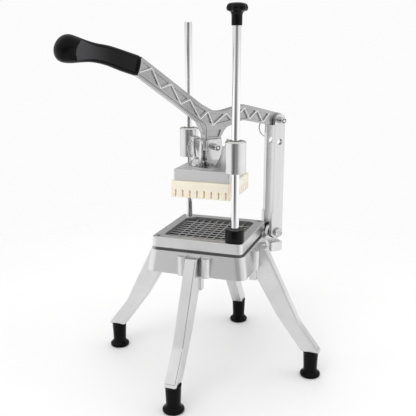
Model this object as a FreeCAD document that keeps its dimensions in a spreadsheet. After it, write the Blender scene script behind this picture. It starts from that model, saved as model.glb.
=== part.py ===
import FreeCAD, Part
import math
import os
from types import SimpleNamespace
import Sketcher

# A lever-operated french fry cutter on four splayed legs, in millimetres.
# X runs along the hand lever, from the grip (-X) to the links (+X), and Z is up.
# The plates, the blade grid and the pusher are squares turned 45 degrees, so
# that their corners point along X and Y. The guide rods stand at the Y corners.

SIZES = {
    # how far the grip and the feet reach from the tower, which centres the whole part
    "grip_reach": 198.0, "foot_spread": 140.0,
    # blade grid
    "cell_pitch": 9.525, "cell_count": 9, "blade_thick": 1.0, "blade_high": 13.5,
    "blade_slip": 0.05, "blade_sunk": 3.4, "blade_proud": 2.4, "ring_floor": 0.8,
    # base, blade frame and top plate
    "base_top": 174.4, "skirt_high": 28.0, "skirt_draft": 9.0, "skirt_wall": 4.5,
    "skirt_proud": 1.8, "skirt_round": 11.0, "deck_thick": 6.0, "plate_rim": 11.8,
    "plate_thick": 13.0, "frame_thick": 3.6, "frame_inset": 2.5, "mouth_margin": 5.2,
    "mouth_round": 7.0, "corner_round": 6.5, "edge_round": 1.5, "ring_gap": 0.4,
    "window_margin": 0.15, "clip_gap": 3.0, "rod_clip_gap": 6.4, "window_clip_gap": 2.8,
    "screw_inset": 10.4, "screw_dia": 6.0, "screw_head": 11.0, "screw_head_high": 3.2,
    "socket_flats": 4.0, "socket_deep": 2.0,
    # guide rods, collar and knob
    "rod_inset": 17.9, "rod_dia": 10.0, "rod_top": 456.4, "rod_fit": 0.05,
    "rod_tail_dia": 8.0, "rod_shoulder": 11.0, "rod_bevel": 1.0, "rod_tail_proud": 2.0,
    "nut_flats": 13.0, "nut_high": 6.5, "collar_dia": 24.0, "collar_high": 16.6,
    "knob_bottom": 449.7, "knob_neck_dia": 12.6, "knob_neck_high": 14.8, "knob_dia": 25.7,
    "knob_head_high": 8.4, "knob_dome": 2.4, "knob_flute": 4.6, "knob_flutes": 9,
    "knob_grip": 12.0,
    # legs and feet
    "leg_width": 15.6, "leg_top": 171.6, "leg_bottom": 36.4, "leg_kink": 73.0,
    "leg_inset": 4.0, "leg_head": 12.5, "leg_knee_out": 124.0, "leg_foot_deep": 24.0,
    "leg_knee_deep": 30.0, "leg_knee_rise": 10.0, "leg_step": 134.0, "leg_flange_wide": 20.0,
    "leg_flange_deep": 9.0, "leg_flange_low": 128.5, "leg_bolt_place": 158.0,
    "leg_bolt_dia": 8.0, "leg_bolt_deep": 9.0, "leg_bolt_head": 5.0, "lobe_dia": 12.5,
    "lobe_gap": 1.2, "knee_round": 40.0,
    "foot_dia": 20.0, "foot_flange_dia": 27.0, "foot_flange_high": 6.4, "foot_cove": 3.2,
    # pusher: nylon block with pegs, holder plate, cast head
    "pusher_low": 240.0, "peg_high": 10.2, "peg_wide": 7.5, "slab_thick": 10.8,
    "slab_play": 2.7, "slab_clip_gap": 12.6, "holder_step": 2.8, "holder_high": 14.2,
    "holder_wall": 4.0, "holder_slip": 0.2, "disc_dia": 58.0, "disc_thick": 1.8,
    "saddle_thick": 5.5, "saddle_wide": 40.0, "sleeve_dia": 25.5, "sleeve_low": 278.0,
    "sleeve_high": 39.0, "bush_dia": 14.0, "bush_slip": 0.02, "bush_proud": 0.6,
    "web_thick": 9.0, "web_top": 307.0, "web_inset": 15.0, "scoop_z": 316.0,
    "scoop_dia": 84.0, "cheek_gap": 13.2, "cheek_thick": 4.0, "cheek_wide": 21.6,
    "cheek_high": 28.5, "cheek_round": 3.0, "stud_place": 19.0, "stud_dia": 6.0,
    "stud_deep": 6.0, "stud_proud": 2.0, "wing_hub_dia": 15.0, "wing_hub_high": 9.0,
    "wing_reach": 13.4, "wing_high": 34.0, "wing_thick": 3.0, "wing_gap": 6.9,
    # linkage
    "pin_dia": 8.0, "pin_fit": 0.05, "clevis_high": 19.0, "link_out": 11.13,
    "link_top": 330.5, "link_low": 176.0, "link_spare": 29.0, "link_wide": 15.5,
    "link_thick": 6.0, "link_gap": 14.5, "link_heel": 1.8, "link_heel_top": 200.0,
    "pin_nose": 9.5, "pin_head_dia": 12.0, "pin_head_high": 4.0, "eye_dia": 4.4,
    "pin_tail": 8.8, "eye_place": 5.6, "pin_flange_high": 2.2, "pin_slip": 0.2,
    "pin_tail_low": 5.0, "clip_dia": 13.0, "clip_thick": 1.2,
    "ring_dia": 26.0, "ring_wire": 2.0, "ring_droop": 22.0,
    "lug_thick": 9.0, "lug_round": 9.0, "washer_thick": 2.4, "washer_dia": 19.5,
    "bar_low": 149.0, "bar_high": 13.0, "bar_inset": 9.0, "bar_outset": 8.0,
    "bar_wide": 27.0, "bar_round": 3.5,
    # lever, given by its corners above or beside the clevis pin
    "lever_thick": 13.0, "lever_round": 9.2, "leg_half": 11.3, "slot_long": 18.2,
    "slot_high": 10.0, "slot_drop": 0.4, "elbow_x": 16.5, "elbow_high": 54.6,
    "valley_x": 6.0, "valley_high": 42.0, "crest_x": 47.0, "crest_high": 51.0,
    "belly_high": 31.4, "throat_x": 19.0, "throat_high": 23.6, "shoulder_high": 12.0,
    "armpit_high": 31.5, "panel_deep": 2.2, "rim_wide": 3.0, "pocket_share": 0.72,
    # grip
    "grip_start": 97.0, "grip_axis_z": 403.6, "grip_tilt": 14.0, "grip_long": 100.5,
    "grip_neck_dia": 24.2, "grip_waist_dia": 22.4, "grip_ball_dia": 32.4, "grip_rise": 3.4,
    "tang_long": 34.0, "tang_high": 12.0, "tang_thick": 8.0, "tang_slip": 0.1,
}


class Size:
    """A length with its value and the sheet expression that gives it."""

    def __init__(self, value, text):
        self.value, self.text = value, text

    def __add__(self, other):
        other = as_size(other)
        return Size(self.value + other.value, f"({self.text} + {other.text})")

    def __sub__(self, other):
        other = as_size(other)
        return Size(self.value - other.value, f"({self.text} - {other.text})")

    def __mul__(self, other):
        other = as_size(other)
        return Size(self.value * other.value, f"({self.text} * {other.text})")

    def __truediv__(self, other):
        other = as_size(other)
        return Size(self.value / other.value, f"({self.text} / {other.text})")

    def __radd__(self, other):
        return as_size(other) + self

    def __rsub__(self, other):
        return as_size(other) - self

    def __rmul__(self, other):
        return as_size(other) * self

    def __neg__(self):
        return Size(-self.value, f"(-1 * {self.text})")


def as_size(number):
    return number if isinstance(number, Size) else Size(float(number), repr(float(number)))


def sine(angle):
    return Size(math.sin(math.radians(angle.value)), f"sin({angle.text})")


def cosine(angle):
    return Size(math.cos(math.radians(angle.value)), f"cos({angle.text})")


def tangent(angle):
    return Size(math.tan(math.radians(angle.value)), f"tan({angle.text})")


doc = FreeCAD.newDocument("french_fry_cutter")
sheet = doc.addObject("Spreadsheet::Sheet", "Sizes")
for row, (alias, number) in enumerate(SIZES.items(), start=1):
    sheet.set(f"A{row}", alias)
    sheet.set(f"B{row}", str(number))
    sheet.setAlias(f"B{row}", alias)
doc.recompute()
d = SimpleNamespace(**{alias: Size(float(sheet.get(alias)), f"Sizes.{alias}") for alias in SIZES})

# sizes that follow from the sheet
root_half = Size(math.sqrt(0.5), "sqrt(0.5)")
tower_x = (d.grip_reach - d.foot_spread * root_half - d.foot_flange_dia / 2) / 2
window_side = d.cell_pitch * d.cell_count + d.window_margin * 2
mouth_side = window_side + d.mouth_margin * 2
ring_side = mouth_side - d.ring_gap * 2
plate_side = mouth_side + d.plate_rim * 2
skirt_side = plate_side + d.skirt_proud * 2
corner_reach = plate_side / 2 / root_half
rod_offset = corner_reach - d.rod_inset
screw_place = corner_reach - d.screw_inset
link_x = corner_reach + d.link_out
mouth_clip = rod_offset - d.clip_gap
rod_clip = rod_offset - d.rod_clip_gap
window_clip = rod_clip - d.window_clip_gap
slab_side = window_side - d.slab_play * 2
slab_clip = rod_offset - d.slab_clip_gap
holder_side = slab_side - d.holder_step * 2
leg_seat = plate_side / 2 + d.leg_inset
bar_near = link_x - d.bar_inset
bar_far = link_x + d.bar_outset
plate_low = d.base_top + d.frame_thick
plate_top = plate_low + d.plate_thick
base_low = d.base_top - d.skirt_high
blade_top = plate_top - d.blade_sunk
blade_low = blade_top - d.blade_high
ring_top = blade_top - d.blade_proud
ring_low = blade_low - d.blade_slip - d.ring_floor
slab_low = d.pusher_low + d.peg_high
slab_top = slab_low + d.slab_thick
holder_top = slab_top + d.holder_high
disc_top = holder_top + d.disc_thick
saddle_top = disc_top + d.saddle_thick
cheek_top = saddle_top + d.cheek_high
clevis_z = saddle_top + d.clevis_high
sleeve_top = d.sleeve_low + d.sleeve_high
link_face = d.link_gap / 2
link_back = link_face + d.link_thick
cheek_face = d.cheek_gap / 2
cheek_back = cheek_face + d.cheek_thick
knob_top = d.knob_bottom + d.knob_neck_high + d.knob_head_high + d.knob_dome

parts = []
TURN = -45.0


def bind(thing, name, size):
    thing.setExpression(name, as_size(size).text)


def new_body(label):
    body = doc.addObject("PartDesign::Body", label)
    body.Label = label
    bind(body, "Placement.Base.x", tower_x)
    parts.append(body)
    return body


def sketch(body, name, plane="XY", lift=0.0, turn=0.0):
    """A sketch on one of the body's own planes, lifted along its normal."""
    item = body.newObject("Sketcher::SketchObject", name)
    role = plane + "_Plane"
    face = next(f for f in body.Origin.OriginFeatures if f.Role == role)
    item.AttachmentSupport = (face, [""])
    item.MapMode = "FlatFace"
    item.AttachmentOffset = FreeCAD.Placement(
        FreeCAD.Vector(0, 0, as_size(lift).value), FreeCAD.Rotation(FreeCAD.Vector(0, 0, 1), turn))
    bind(item, "AttachmentOffset.Base.z", lift)
    return item


def pin_point(item, shape, corner, x, y):
    """Hold one point of a sketch at x, y from the sketch's origin."""
    for kind, size in (("DistanceX", as_size(x)), ("DistanceY", as_size(y))):
        ends = (-1, 1, shape, corner)
        if size.value < 0:
            ends, size = (shape, corner, -1, 1), -size
        index = item.addConstraint(Sketcher.Constraint(kind, *ends, size.value))
        if not size.text.replace(".", "").isdigit():
            bind(item, f"Constraints[{index}]", size)


def outline(item, corners):
    """A closed outline of straight edges through corners given as sizes."""
    spots = [FreeCAD.Vector(as_size(x).value, as_size(y).value, 0) for x, y in corners]
    first = item.GeometryCount
    count = len(spots)
    for index, spot in enumerate(spots):
        item.addGeometry(Part.LineSegment(spot, spots[(index + 1) % count]), False)
    for index in range(count):
        item.addConstraint(Sketcher.Constraint(
            "Coincident", first + index, 2, first + (index + 1) % count, 1))
    for index, (x, y) in enumerate(corners):
        pin_point(item, first + index, 1, x, y)


def rectangle(item, wide, high, x=0.0, y=0.0):
    half_w, half_h = as_size(wide) / 2, as_size(high) / 2
    outline(item, [(x - half_w, y - half_h), (x + half_w, y - half_h),
                   (x + half_w, y + half_h), (x - half_w, y + half_h)])


def circle(item, across, x=0.0, y=0.0):
    across = as_size(across)
    middle = FreeCAD.Vector(as_size(x).value, as_size(y).value, 0)
    up = FreeCAD.Vector(0, 0, 1)
    index = item.addGeometry(Part.Circle(middle, up, across.value / 2), False)
    pin_point(item, index, 3, x, y)
    hold = item.addConstraint(Sketcher.Constraint("Diameter", index, across.value))
    bind(item, f"Constraints[{hold}]", across)


def obround(item, across, first, second):
    """A slot of width across between two arc centres, given as size pairs."""
    across = as_size(across)
    (x1, y1), (x2, y2) = [(as_size(x), as_size(y)) for x, y in (first, second)]
    a = FreeCAD.Vector(x1.value, y1.value, 0)
    b = FreeCAD.Vector(x2.value, y2.value, 0)
    along = (b - a).normalize()
    side = FreeCAD.Vector(-along.y, along.x, 0) * (across.value / 2)
    heading = math.atan2(along.y, along.x)
    up = FreeCAD.Vector(0, 0, 1)
    quarter = math.pi / 2
    base = item.GeometryCount
    item.addGeometry(Part.ArcOfCircle(Part.Circle(a, up, across.value / 2),
                                      heading + quarter, heading + 3 * quarter), False)
    item.addGeometry(Part.LineSegment(a - side, b - side), False)
    item.addGeometry(Part.ArcOfCircle(Part.Circle(b, up, across.value / 2),
                                      heading - quarter, heading + quarter), False)
    item.addGeometry(Part.LineSegment(b + side, a + side), False)
    for one, other in ((0, 1), (1, 2), (2, 3), (3, 0)):
        item.addConstraint(Sketcher.Constraint("Tangent", base + one, 2, base + other, 1))
    pin_point(item, base, 3, x1, y1)
    pin_point(item, base + 2, 3, x2, y2)
    hold = item.addConstraint(Sketcher.Constraint("Radius", base, across.value / 2))
    bind(item, f"Constraints[{hold}]", across / 2)


def clipped_square(item, side, clips):
    """A square given in the sketch's axes. clips maps a corner's signs to the
    distance from the centre at which that corner is cut off."""
    half = as_size(side) / 2
    corners = []
    for sx, sy in ((-1, -1), (1, -1), (1, 1), (-1, 1)):
        reach = clips.get((sx, sy))
        if reach is None:
            corners.append((half * sx, half * sy))
            continue
        short = as_size(reach) / root_half - half
        on_x_side, on_y_side = (half * sx, short * sy), (short * sx, half * sy)
        corners += [on_x_side, on_y_side] if sx * sy > 0 else [on_y_side, on_x_side]
    outline(item, corners)


def grow(body, item, length, reverse=False, both=False, taper=None, kind="Pad"):
    feature = body.newObject("PartDesign::" + kind, item.Name + "_" + kind.lower())
    feature.Profile = item
    feature.Length = as_size(length).value
    bind(feature, "Length", length)
    if both:
        feature.SideType = "Symmetric"
    feature.Reversed = reverse
    if taper is not None:
        feature.TaperAngle = as_size(taper).value
        bind(feature, "TaperAngle", taper)
    item.Visibility = False
    doc.recompute()
    return feature


def cut(body, item, length, reverse=False, both=False):
    before = body.Shape.Volume
    feature = grow(body, item, length, reverse, both, kind="Pocket")
    if body.Shape.Volume > before - 1e-6:
        raise RuntimeError(item.Name + " cuts nothing")
    return feature


def turn_solid(body, item, kind="Revolution", axis="V_Axis"):
    before = body.Shape.Volume if kind == "Groove" else None
    feature = body.newObject("PartDesign::" + kind, item.Name + "_" + kind.lower())
    feature.Profile = item
    feature.ReferenceAxis = (item, [axis])
    feature.Angle = 360.0
    doc.recompute()
    if before is not None and body.Shape.Volume > before - 1e-6:
        raise RuntimeError(item.Name + " cuts nothing")
    return feature


def repeat_round(body, features, count):
    """Copies of features evenly round the body's own Z axis."""
    pattern = body.newObject("PartDesign::PolarPattern", features[0].Name + "_round")
    pattern.Originals = features
    axis = next(f for f in body.Origin.OriginFeatures if f.Role == "Z_Axis")
    pattern.Axis = (axis, [""])
    pattern.Angle = 360.0
    pattern.Occurrences = count
    body.Tip = pattern
    doc.recompute()
    return pattern


def repeat_along(body, features, item, axis, step, count):
    """Copies of features in a line along one of a sketch's axes."""
    pattern = body.newObject("PartDesign::LinearPattern", features[0].Name + "_row_" + axis[0])
    pattern.Originals = features
    pattern.Direction = (item, [axis])
    pattern.Mode = "Spacing"
    pattern.Offset = as_size(step).value
    bind(pattern, "Offset", step)
    pattern.Occurrences = count
    body.Tip = pattern
    doc.recompute()
    return pattern


def edges_where(body, test):
    return [f"Edge{i}" for i, edge in enumerate(body.Tip.Shape.Edges, start=1) if test(edge)]


def soften(body, names, radius, kind="Fillet"):
    if not names:
        raise RuntimeError(body.Name + " has no edge to round")
    last = body.Tip
    feature = body.newObject("PartDesign::" + kind, f"{body.Name}_{kind}{len(body.Group)}")
    feature.Base = (last, names)
    size_name = "Radius" if kind == "Fillet" else "Size"
    setattr(feature, size_name, as_size(radius).value)
    bind(feature, size_name, radius)
    body.Tip = feature
    doc.recompute()
    return feature


def runs_along(edge, x, y, z, tolerance=0.02):
    """Whether a straight edge runs along a direction."""
    if edge.Curve.TypeId != "Part::GeomLine":
        return False
    way = edge.Curve.Direction
    return abs(abs(way.dot(FreeCAD.Vector(x, y, z))) - 1) < tolerance


def lies_at_height(edge, z, tolerance=0.01):
    box = edge.BoundBox
    return abs(box.ZMin - z) < tolerance and abs(box.ZMax - z) < tolerance


def near(edge, x, z, reach=0.6):
    middle = edge.BoundBox.Center
    return math.hypot(middle.x - as_size(x).value, middle.z - as_size(z).value) < reach


def make_base_casting():
    """Drafted skirt with an open throat, leg seats between lobes, and a lug."""
    body = new_body("base_casting")
    skirt = sketch(body, "skirt", lift=d.base_top, turn=TURN)
    rectangle(skirt, skirt_side, skirt_side)
    grow(body, skirt, d.skirt_high, reverse=True, taper=d.skirt_draft)
    soften(body, edges_where(body, lambda e: e.BoundBox.ZLength > d.skirt_high.value / 2),
           d.skirt_round)
    seat = sketch(body, "leg_seat", lift=base_low, turn=TURN)
    side = plate_side / 2
    rectangle(seat, d.leg_width, leg_seat - side + d.skirt_wall, 0,
              -(leg_seat + side - d.skirt_wall) / 2)
    lobe_x = d.leg_width / 2 + d.lobe_gap + d.lobe_dia / 2
    for sign in (-1, 1):
        circle(seat, d.lobe_dia, lobe_x * sign, -(leg_seat + 1))
    seats = grow(body, seat, d.leg_top - base_low)
    repeat_round(body, [seats], 4)
    recess = sketch(body, "leg_recess", lift=base_low, turn=TURN)
    rectangle(recess, d.leg_width + d.lobe_gap, d.leg_head, 0, -(leg_seat + d.leg_head / 2))
    bay = cut(body, recess, d.leg_top - base_low, reverse=True)
    repeat_round(body, [bay], 4)
    lug_low = sketch(body, "lug_arm", "XZ")
    start = plate_side / 2 / root_half - d.corner_round
    outline(lug_low, [(start, d.bar_low),
                      (bar_far - d.bar_round, d.bar_low + d.bar_round),
                      (link_x + d.lug_round, d.link_low), (link_x - d.lug_round, d.link_low),
                      (bar_near - 1, d.link_low - 6), (start, d.link_low - 6)])
    grow(body, lug_low, d.lug_thick, both=True)
    eye = sketch(body, "lug_eye", "XZ")
    circle(eye, d.lug_round * 2, link_x, d.link_low)
    grow(body, eye, d.lug_thick, both=True)
    bar = sketch(body, "lug_bar", "XZ")
    rectangle(bar, bar_far - bar_near, d.bar_high, (bar_far + bar_near) / 2,
              d.bar_low + d.bar_high / 2)
    grow(body, bar, d.bar_wide, both=True)
    soften(body, edges_where(body, lambda e: runs_along(e, 0, 1, 0)
                             and near(e, bar_far, d.bar_low)), d.bar_round)
    arm = sketch(body, "lug_root", "XZ")
    outline(arm, [(start, d.bar_low), (bar_near, d.bar_low),
                  (bar_near, d.bar_low + d.bar_high - 1), (start, d.link_low - 8)])
    grow(body, arm, d.bar_wide * 0.75, both=True)
    cavity = sketch(body, "cavity", lift=base_low, turn=TURN)
    rectangle(cavity, plate_side - d.skirt_wall * 2, plate_side - d.skirt_wall * 2)
    cut(body, cavity, d.skirt_high - d.deck_thick, reverse=True)
    window = sketch(body, "deck_window", lift=d.base_top, turn=TURN)
    clipped_square(window, mouth_side,
                   {(1, 1): mouth_clip, (1, -1): rod_clip, (-1, 1): rod_clip})
    cut(body, window, d.deck_thick)
    holes = sketch(body, "deck_holes", lift=d.base_top)
    for sign in (-1, 1):
        circle(holes, d.rod_tail_dia + d.rod_fit * 2, 0, rod_offset * sign)
        circle(holes, d.screw_dia + d.rod_fit * 2, screw_place * sign, 0)
    cut(body, holes, d.deck_thick)
    for yaw in (TURN, -TURN):
        bolt = sketch(body, "bolt_hole_x" if yaw < 0 else "bolt_hole_y", "XZ")
        bolt.AttachmentOffset = FreeCAD.Placement(
            FreeCAD.Vector(), FreeCAD.Rotation(FreeCAD.Vector(0, 1, 0), yaw))
        circle(bolt, d.leg_bolt_dia + d.rod_fit * 2, 0, d.leg_bolt_place)
        cut(body, bolt, leg_seat * 3, both=True)
    pin = sketch(body, "lug_bore", "XZ")
    circle(pin, d.pin_dia + d.pin_fit * 2, link_x, d.link_low)
    cut(body, pin, d.bar_wide * 2, both=True)
    return body


def make_blade_frame():
    """Flange clamped under the top plate, with a slotted ring for the blades."""
    body = new_body("blade_frame")
    flange = sketch(body, "flange", lift=d.base_top, turn=TURN)
    rectangle(flange, plate_side - d.frame_inset * 2, plate_side - d.frame_inset * 2)
    grow(body, flange, d.frame_thick)
    soften(body, edges_where(body, lambda e: runs_along(e, 0, 0, 1)), d.corner_round)
    ring = sketch(body, "ring", lift=ring_low, turn=TURN)
    clipped_square(ring, ring_side, {(1, 1): mouth_clip - d.ring_gap,
                                     (1, -1): rod_clip - d.ring_gap,
                                     (-1, 1): rod_clip - d.ring_gap})
    grow(body, ring, ring_top - ring_low)
    outer = ring_side.value / 2 / root_half.value
    soften(body, edges_where(body, lambda e: runs_along(e, 0, 0, 1)
                             and abs(e.BoundBox.XMin + outer) < 0.1),
           d.mouth_round - d.ring_gap)
    window = sketch(body, "window", lift=ring_low, turn=TURN)
    clipped_square(window, window_side, {(1, -1): window_clip, (-1, 1): window_clip})
    cut(body, window, ring_top - ring_low, reverse=True)
    slot_wide = d.blade_thick + d.blade_slip * 2
    first = -d.cell_pitch * (SIZES["cell_count"] / 2 - 1)
    for name, wide, high, x, y, axis in (
            ("slots_long", mouth_side, slot_wide, 0, first, "V_Axis"),
            ("slots_cross", slot_wide, mouth_side, first, 0, "H_Axis")):
        slots = sketch(body, name, lift=blade_top, turn=TURN)
        rectangle(slots, wide, high, x, y)
        one = cut(body, slots, d.blade_high + d.blade_slip)
        repeat_along(body, [one], slots, axis, d.cell_pitch, SIZES["cell_count"] - 1)
    holes = sketch(body, "frame_holes", lift=plate_low)
    for sign in (-1, 1):
        circle(holes, d.rod_tail_dia + d.rod_fit * 2, 0, rod_offset * sign)
        circle(holes, d.screw_dia + d.rod_fit * 2, screw_place * sign, 0)
    cut(body, holes, d.frame_thick)
    return body


def make_blade(label, place, crosswise):
    """One blade standing on edge, half-lapped at every crossing."""
    body = new_body(label)
    turn, side = (-TURN, -1) if crosswise else (TURN, 1)
    body.Placement.Rotation = FreeCAD.Rotation(FreeCAD.Vector(0, 0, 1), turn)
    bind(body, "Placement.Base.x", tower_x + place * root_half)
    bind(body, "Placement.Base.y", place * root_half * side)
    strip = sketch(body, label + "_strip", "XZ")
    rectangle(strip, ring_side, d.blade_high, 0, blade_low + d.blade_high / 2)
    grow(body, strip, d.blade_thick, both=True)
    notch = sketch(body, label + "_notch", "XZ")
    deep = d.blade_high / 2 + d.blade_slip
    middle = blade_low + deep / 2 - 1 if crosswise else blade_top - deep / 2 + 1
    rectangle(notch, d.blade_thick + d.blade_slip * 2, deep + 2,
              -d.cell_pitch * (SIZES["cell_count"] / 2 - 1), middle)
    one = cut(body, notch, d.blade_thick * 2, both=True)
    repeat_along(body, [one], notch, "H_Axis", d.cell_pitch, SIZES["cell_count"] - 1)
    return body


def make_top_plate():
    """Thick guide plate with the square mouth that the pusher enters."""
    body = new_body("top_plate")
    slab = sketch(body, "slab", lift=plate_low, turn=TURN)
    rectangle(slab, plate_side, plate_side)
    grow(body, slab, d.plate_thick)
    soften(body, edges_where(body, lambda e: runs_along(e, 0, 0, 1)), d.corner_round)
    soften(body, edges_where(body, lambda e: lies_at_height(e, plate_top.value)), d.edge_round)
    mouth = sketch(body, "mouth", lift=plate_top, turn=TURN)
    clipped_square(mouth, mouth_side,
                   {(1, 1): mouth_clip, (1, -1): rod_clip, (-1, 1): rod_clip})
    cut(body, mouth, d.plate_thick)
    inner = mouth_side.value / 2 / root_half.value
    soften(body, edges_where(body, lambda e: runs_along(e, 0, 0, 1)
                             and abs(e.BoundBox.XMin + inner) < 0.1), d.mouth_round)
    for name, rod_wide, screw_wide, deep in (
            ("through_holes", d.rod_tail_dia, d.screw_dia, d.plate_thick),
            ("seat_holes", d.rod_dia, d.screw_head, None)):
        holes = sketch(body, name, lift=plate_top)
        for sign in (-1, 1):
            circle(holes, rod_wide + d.rod_fit * 2, 0, rod_offset * sign)
            if deep is not None:
                circle(holes, screw_wide + d.rod_fit * 2, screw_place * sign, 0)
        cut(body, holes, deep if deep is not None else d.rod_shoulder)
    sinks = sketch(body, "screw_sinks", lift=plate_top)
    for sign in (-1, 1):
        circle(sinks, d.screw_head + d.rod_fit * 4, screw_place * sign, 0)
    cut(body, sinks, d.screw_head_high + d.rod_fit)
    return body


def make_guide_rod(label, side, top):
    """A bright rod whose shoulder and nut clamp the plate to the base."""
    body = new_body(label)
    bind(body, "Placement.Base.y", rod_offset * side)
    shaft = sketch(body, label + "_profile", "XZ")
    shoulder = plate_top - d.rod_shoulder
    low = d.base_top - d.deck_thick - d.nut_high - d.rod_tail_proud
    tail, thick = d.rod_tail_dia / 2, d.rod_dia / 2
    outline(shaft, [(0, low), (tail, low), (tail, shoulder), (thick, shoulder),
                    (thick, top - d.rod_bevel), (thick - d.rod_bevel, top), (0, top)])
    turn_solid(body, shaft)
    return body


def make_collar():
    """Black stop collar on the near rod, which ends the pusher's stroke."""
    body = new_body("rod_collar")
    bind(body, "Placement.Base.y", -rod_offset)
    ring = sketch(body, "collar_ring", lift=plate_top)
    circle(ring, d.collar_dia)
    circle(ring, d.rod_dia + d.rod_fit * 2)
    grow(body, ring, d.collar_high)
    soften(body, edges_where(body, lambda e: lies_at_height(e, (plate_top + d.collar_high).value)),
           0.8, "Chamfer")
    return body


def make_knob():
    """Black fluted knob on a neck, screwed on the near rod's top."""
    body = new_body("rod_knob")
    bind(body, "Placement.Base.y", -rod_offset)
    profile = sketch(body, "knob_profile", "XZ")
    neck_top = d.knob_bottom + d.knob_neck_high
    head_top = neck_top + d.knob_head_high
    neck, head = d.knob_neck_dia / 2, d.knob_dia / 2
    outline(profile, [(0, d.knob_bottom), (neck, d.knob_bottom), (neck, neck_top),
                      (head, neck_top), (head, head_top - 1), (head - 1, head_top),
                      (head - 5, head_top), (head - 8, knob_top), (0, knob_top)])
    turn_solid(body, profile)
    flute = sketch(body, "knob_flute", lift=neck_top - 1)
    circle(flute, d.knob_flute, head + d.knob_flute / 4, 0)
    one = cut(body, flute, d.knob_head_high + 3, reverse=True)
    repeat_round(body, [one], SIZES["knob_flutes"])
    bore = sketch(body, "knob_bore", lift=d.knob_bottom)
    circle(bore, d.rod_dia + d.rod_fit * 2)
    cut(body, bore, d.knob_grip + d.rod_fit, reverse=True)
    return body


def make_leg(label, heading):
    """A tapered cast leg that seats on the skirt and knees outwards to its foot."""
    body = new_body(label)
    body.Placement.Rotation = FreeCAD.Rotation(FreeCAD.Vector(0, 0, 1), heading)
    side = sketch(body, label + "_side", "XZ")
    half_deep = d.leg_foot_deep / 2
    knee_in = d.leg_knee_out - d.leg_knee_deep
    outer = [(d.foot_spread + half_deep, d.leg_bottom), (d.leg_knee_out, d.leg_kink),
             (leg_seat + d.leg_head, d.leg_top)]
    outline(side, outer + [(leg_seat, d.leg_top), (leg_seat, d.leg_step),
                           (knee_in, d.leg_kink + d.leg_knee_rise),
                           (d.foot_spread - half_deep, d.leg_bottom)])
    grow(body, side, d.leg_width, both=True)
    soften(body, edges_where(body, lambda e: runs_along(e, 0, 1, 0)
                             and near(e, d.leg_knee_out, d.leg_kink)), d.knee_round)
    soften(body, edges_where(body, lambda e: e.BoundBox.YLength < 0.01
                             and e.BoundBox.ZLength > 30
                             and e.BoundBox.XMax > d.leg_knee_out.value - 10), d.edge_round)
    flange = sketch(body, label + "_flange", "XZ")
    rectangle(flange, d.leg_flange_deep, base_low - d.leg_flange_low,
              leg_seat - d.leg_flange_deep / 2 + 2, (base_low + d.leg_flange_low) / 2)
    grow(body, flange, d.leg_flange_wide, both=True)
    hole = sketch(body, label + "_hole", "YZ", lift=leg_seat - d.leg_flange_deep + 2)
    circle(hole, d.screw_dia, 0, (base_low + d.leg_flange_low) / 2)
    cut(body, hole, d.leg_flange_deep * 0.7, reverse=True)
    bolt = sketch(body, label + "_bolt", "YZ", lift=leg_seat)
    circle(bolt, d.leg_bolt_dia + d.rod_fit * 2, 0, d.leg_bolt_place)
    cut(body, bolt, d.leg_bolt_deep + 1, reverse=True)
    return body


def make_foot(label, heading):
    """A black foot with a flared flange, under the leg's end."""
    body = new_body(label)
    angle = Size(heading, str(heading))
    bind(body, "Placement.Base.x", tower_x + d.foot_spread * cosine(angle))
    bind(body, "Placement.Base.y", d.foot_spread * sine(angle))
    profile = sketch(body, label + "_profile", "XZ")
    flare, stem = d.foot_flange_dia / 2, d.foot_dia / 2
    high, cove = d.foot_flange_high, d.foot_cove
    outline(profile, [(0, 0), (flare - 1, 0), (flare, 1.5), (flare, high - 2),
                      (flare - 1.5, high), (stem, high + cove), (stem, d.leg_bottom),
                      (0, d.leg_bottom)])
    turn_solid(body, profile)
    return body


def make_pusher_block():
    """Ivory slab with square pegs that press the food through the blades."""
    body = new_body("pusher_block")
    whole = sketch(body, "peg_block", lift=d.pusher_low, turn=TURN)
    clipped_square(whole, slab_side, {(1, -1): slab_clip, (-1, 1): slab_clip})
    grow(body, whole, slab_top - d.pusher_low)
    soften(body, edges_where(body, lambda e: runs_along(e, 0, 0, 1)), 1.5)
    boss = sketch(body, "holder_boss", lift=slab_top, turn=TURN)
    inner = holder_side - d.holder_wall * 2 - d.holder_slip * 2
    rectangle(boss, inner, inner)
    grow(body, boss, d.holder_high - d.holder_wall - d.holder_slip)
    first = -d.cell_pitch * (SIZES["cell_count"] / 2 - 1)
    long, wide = slab_side + 2, d.cell_pitch - d.peg_wide
    for name, across, high, x, y, axis in (
            ("gaps_long", long, wide, 0, first, "V_Axis"),
            ("gaps_cross", wide, long, first, 0, "H_Axis")):
        gap = sketch(body, name, lift=d.pusher_low, turn=TURN)
        rectangle(gap, across, high, x, y)
        one = cut(body, gap, d.peg_high, reverse=True)
        repeat_along(body, [one], gap, axis, d.cell_pitch, SIZES["cell_count"] - 1)
    studs = sketch(body, "stud_holes", lift=slab_top + d.holder_high - d.holder_wall)
    for sign in (-1, 1):
        circle(studs, d.stud_dia + d.rod_fit * 2, d.stud_place * sign, 0)
    cut(body, studs, d.stud_deep + d.holder_high - d.holder_wall)
    return body


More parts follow.
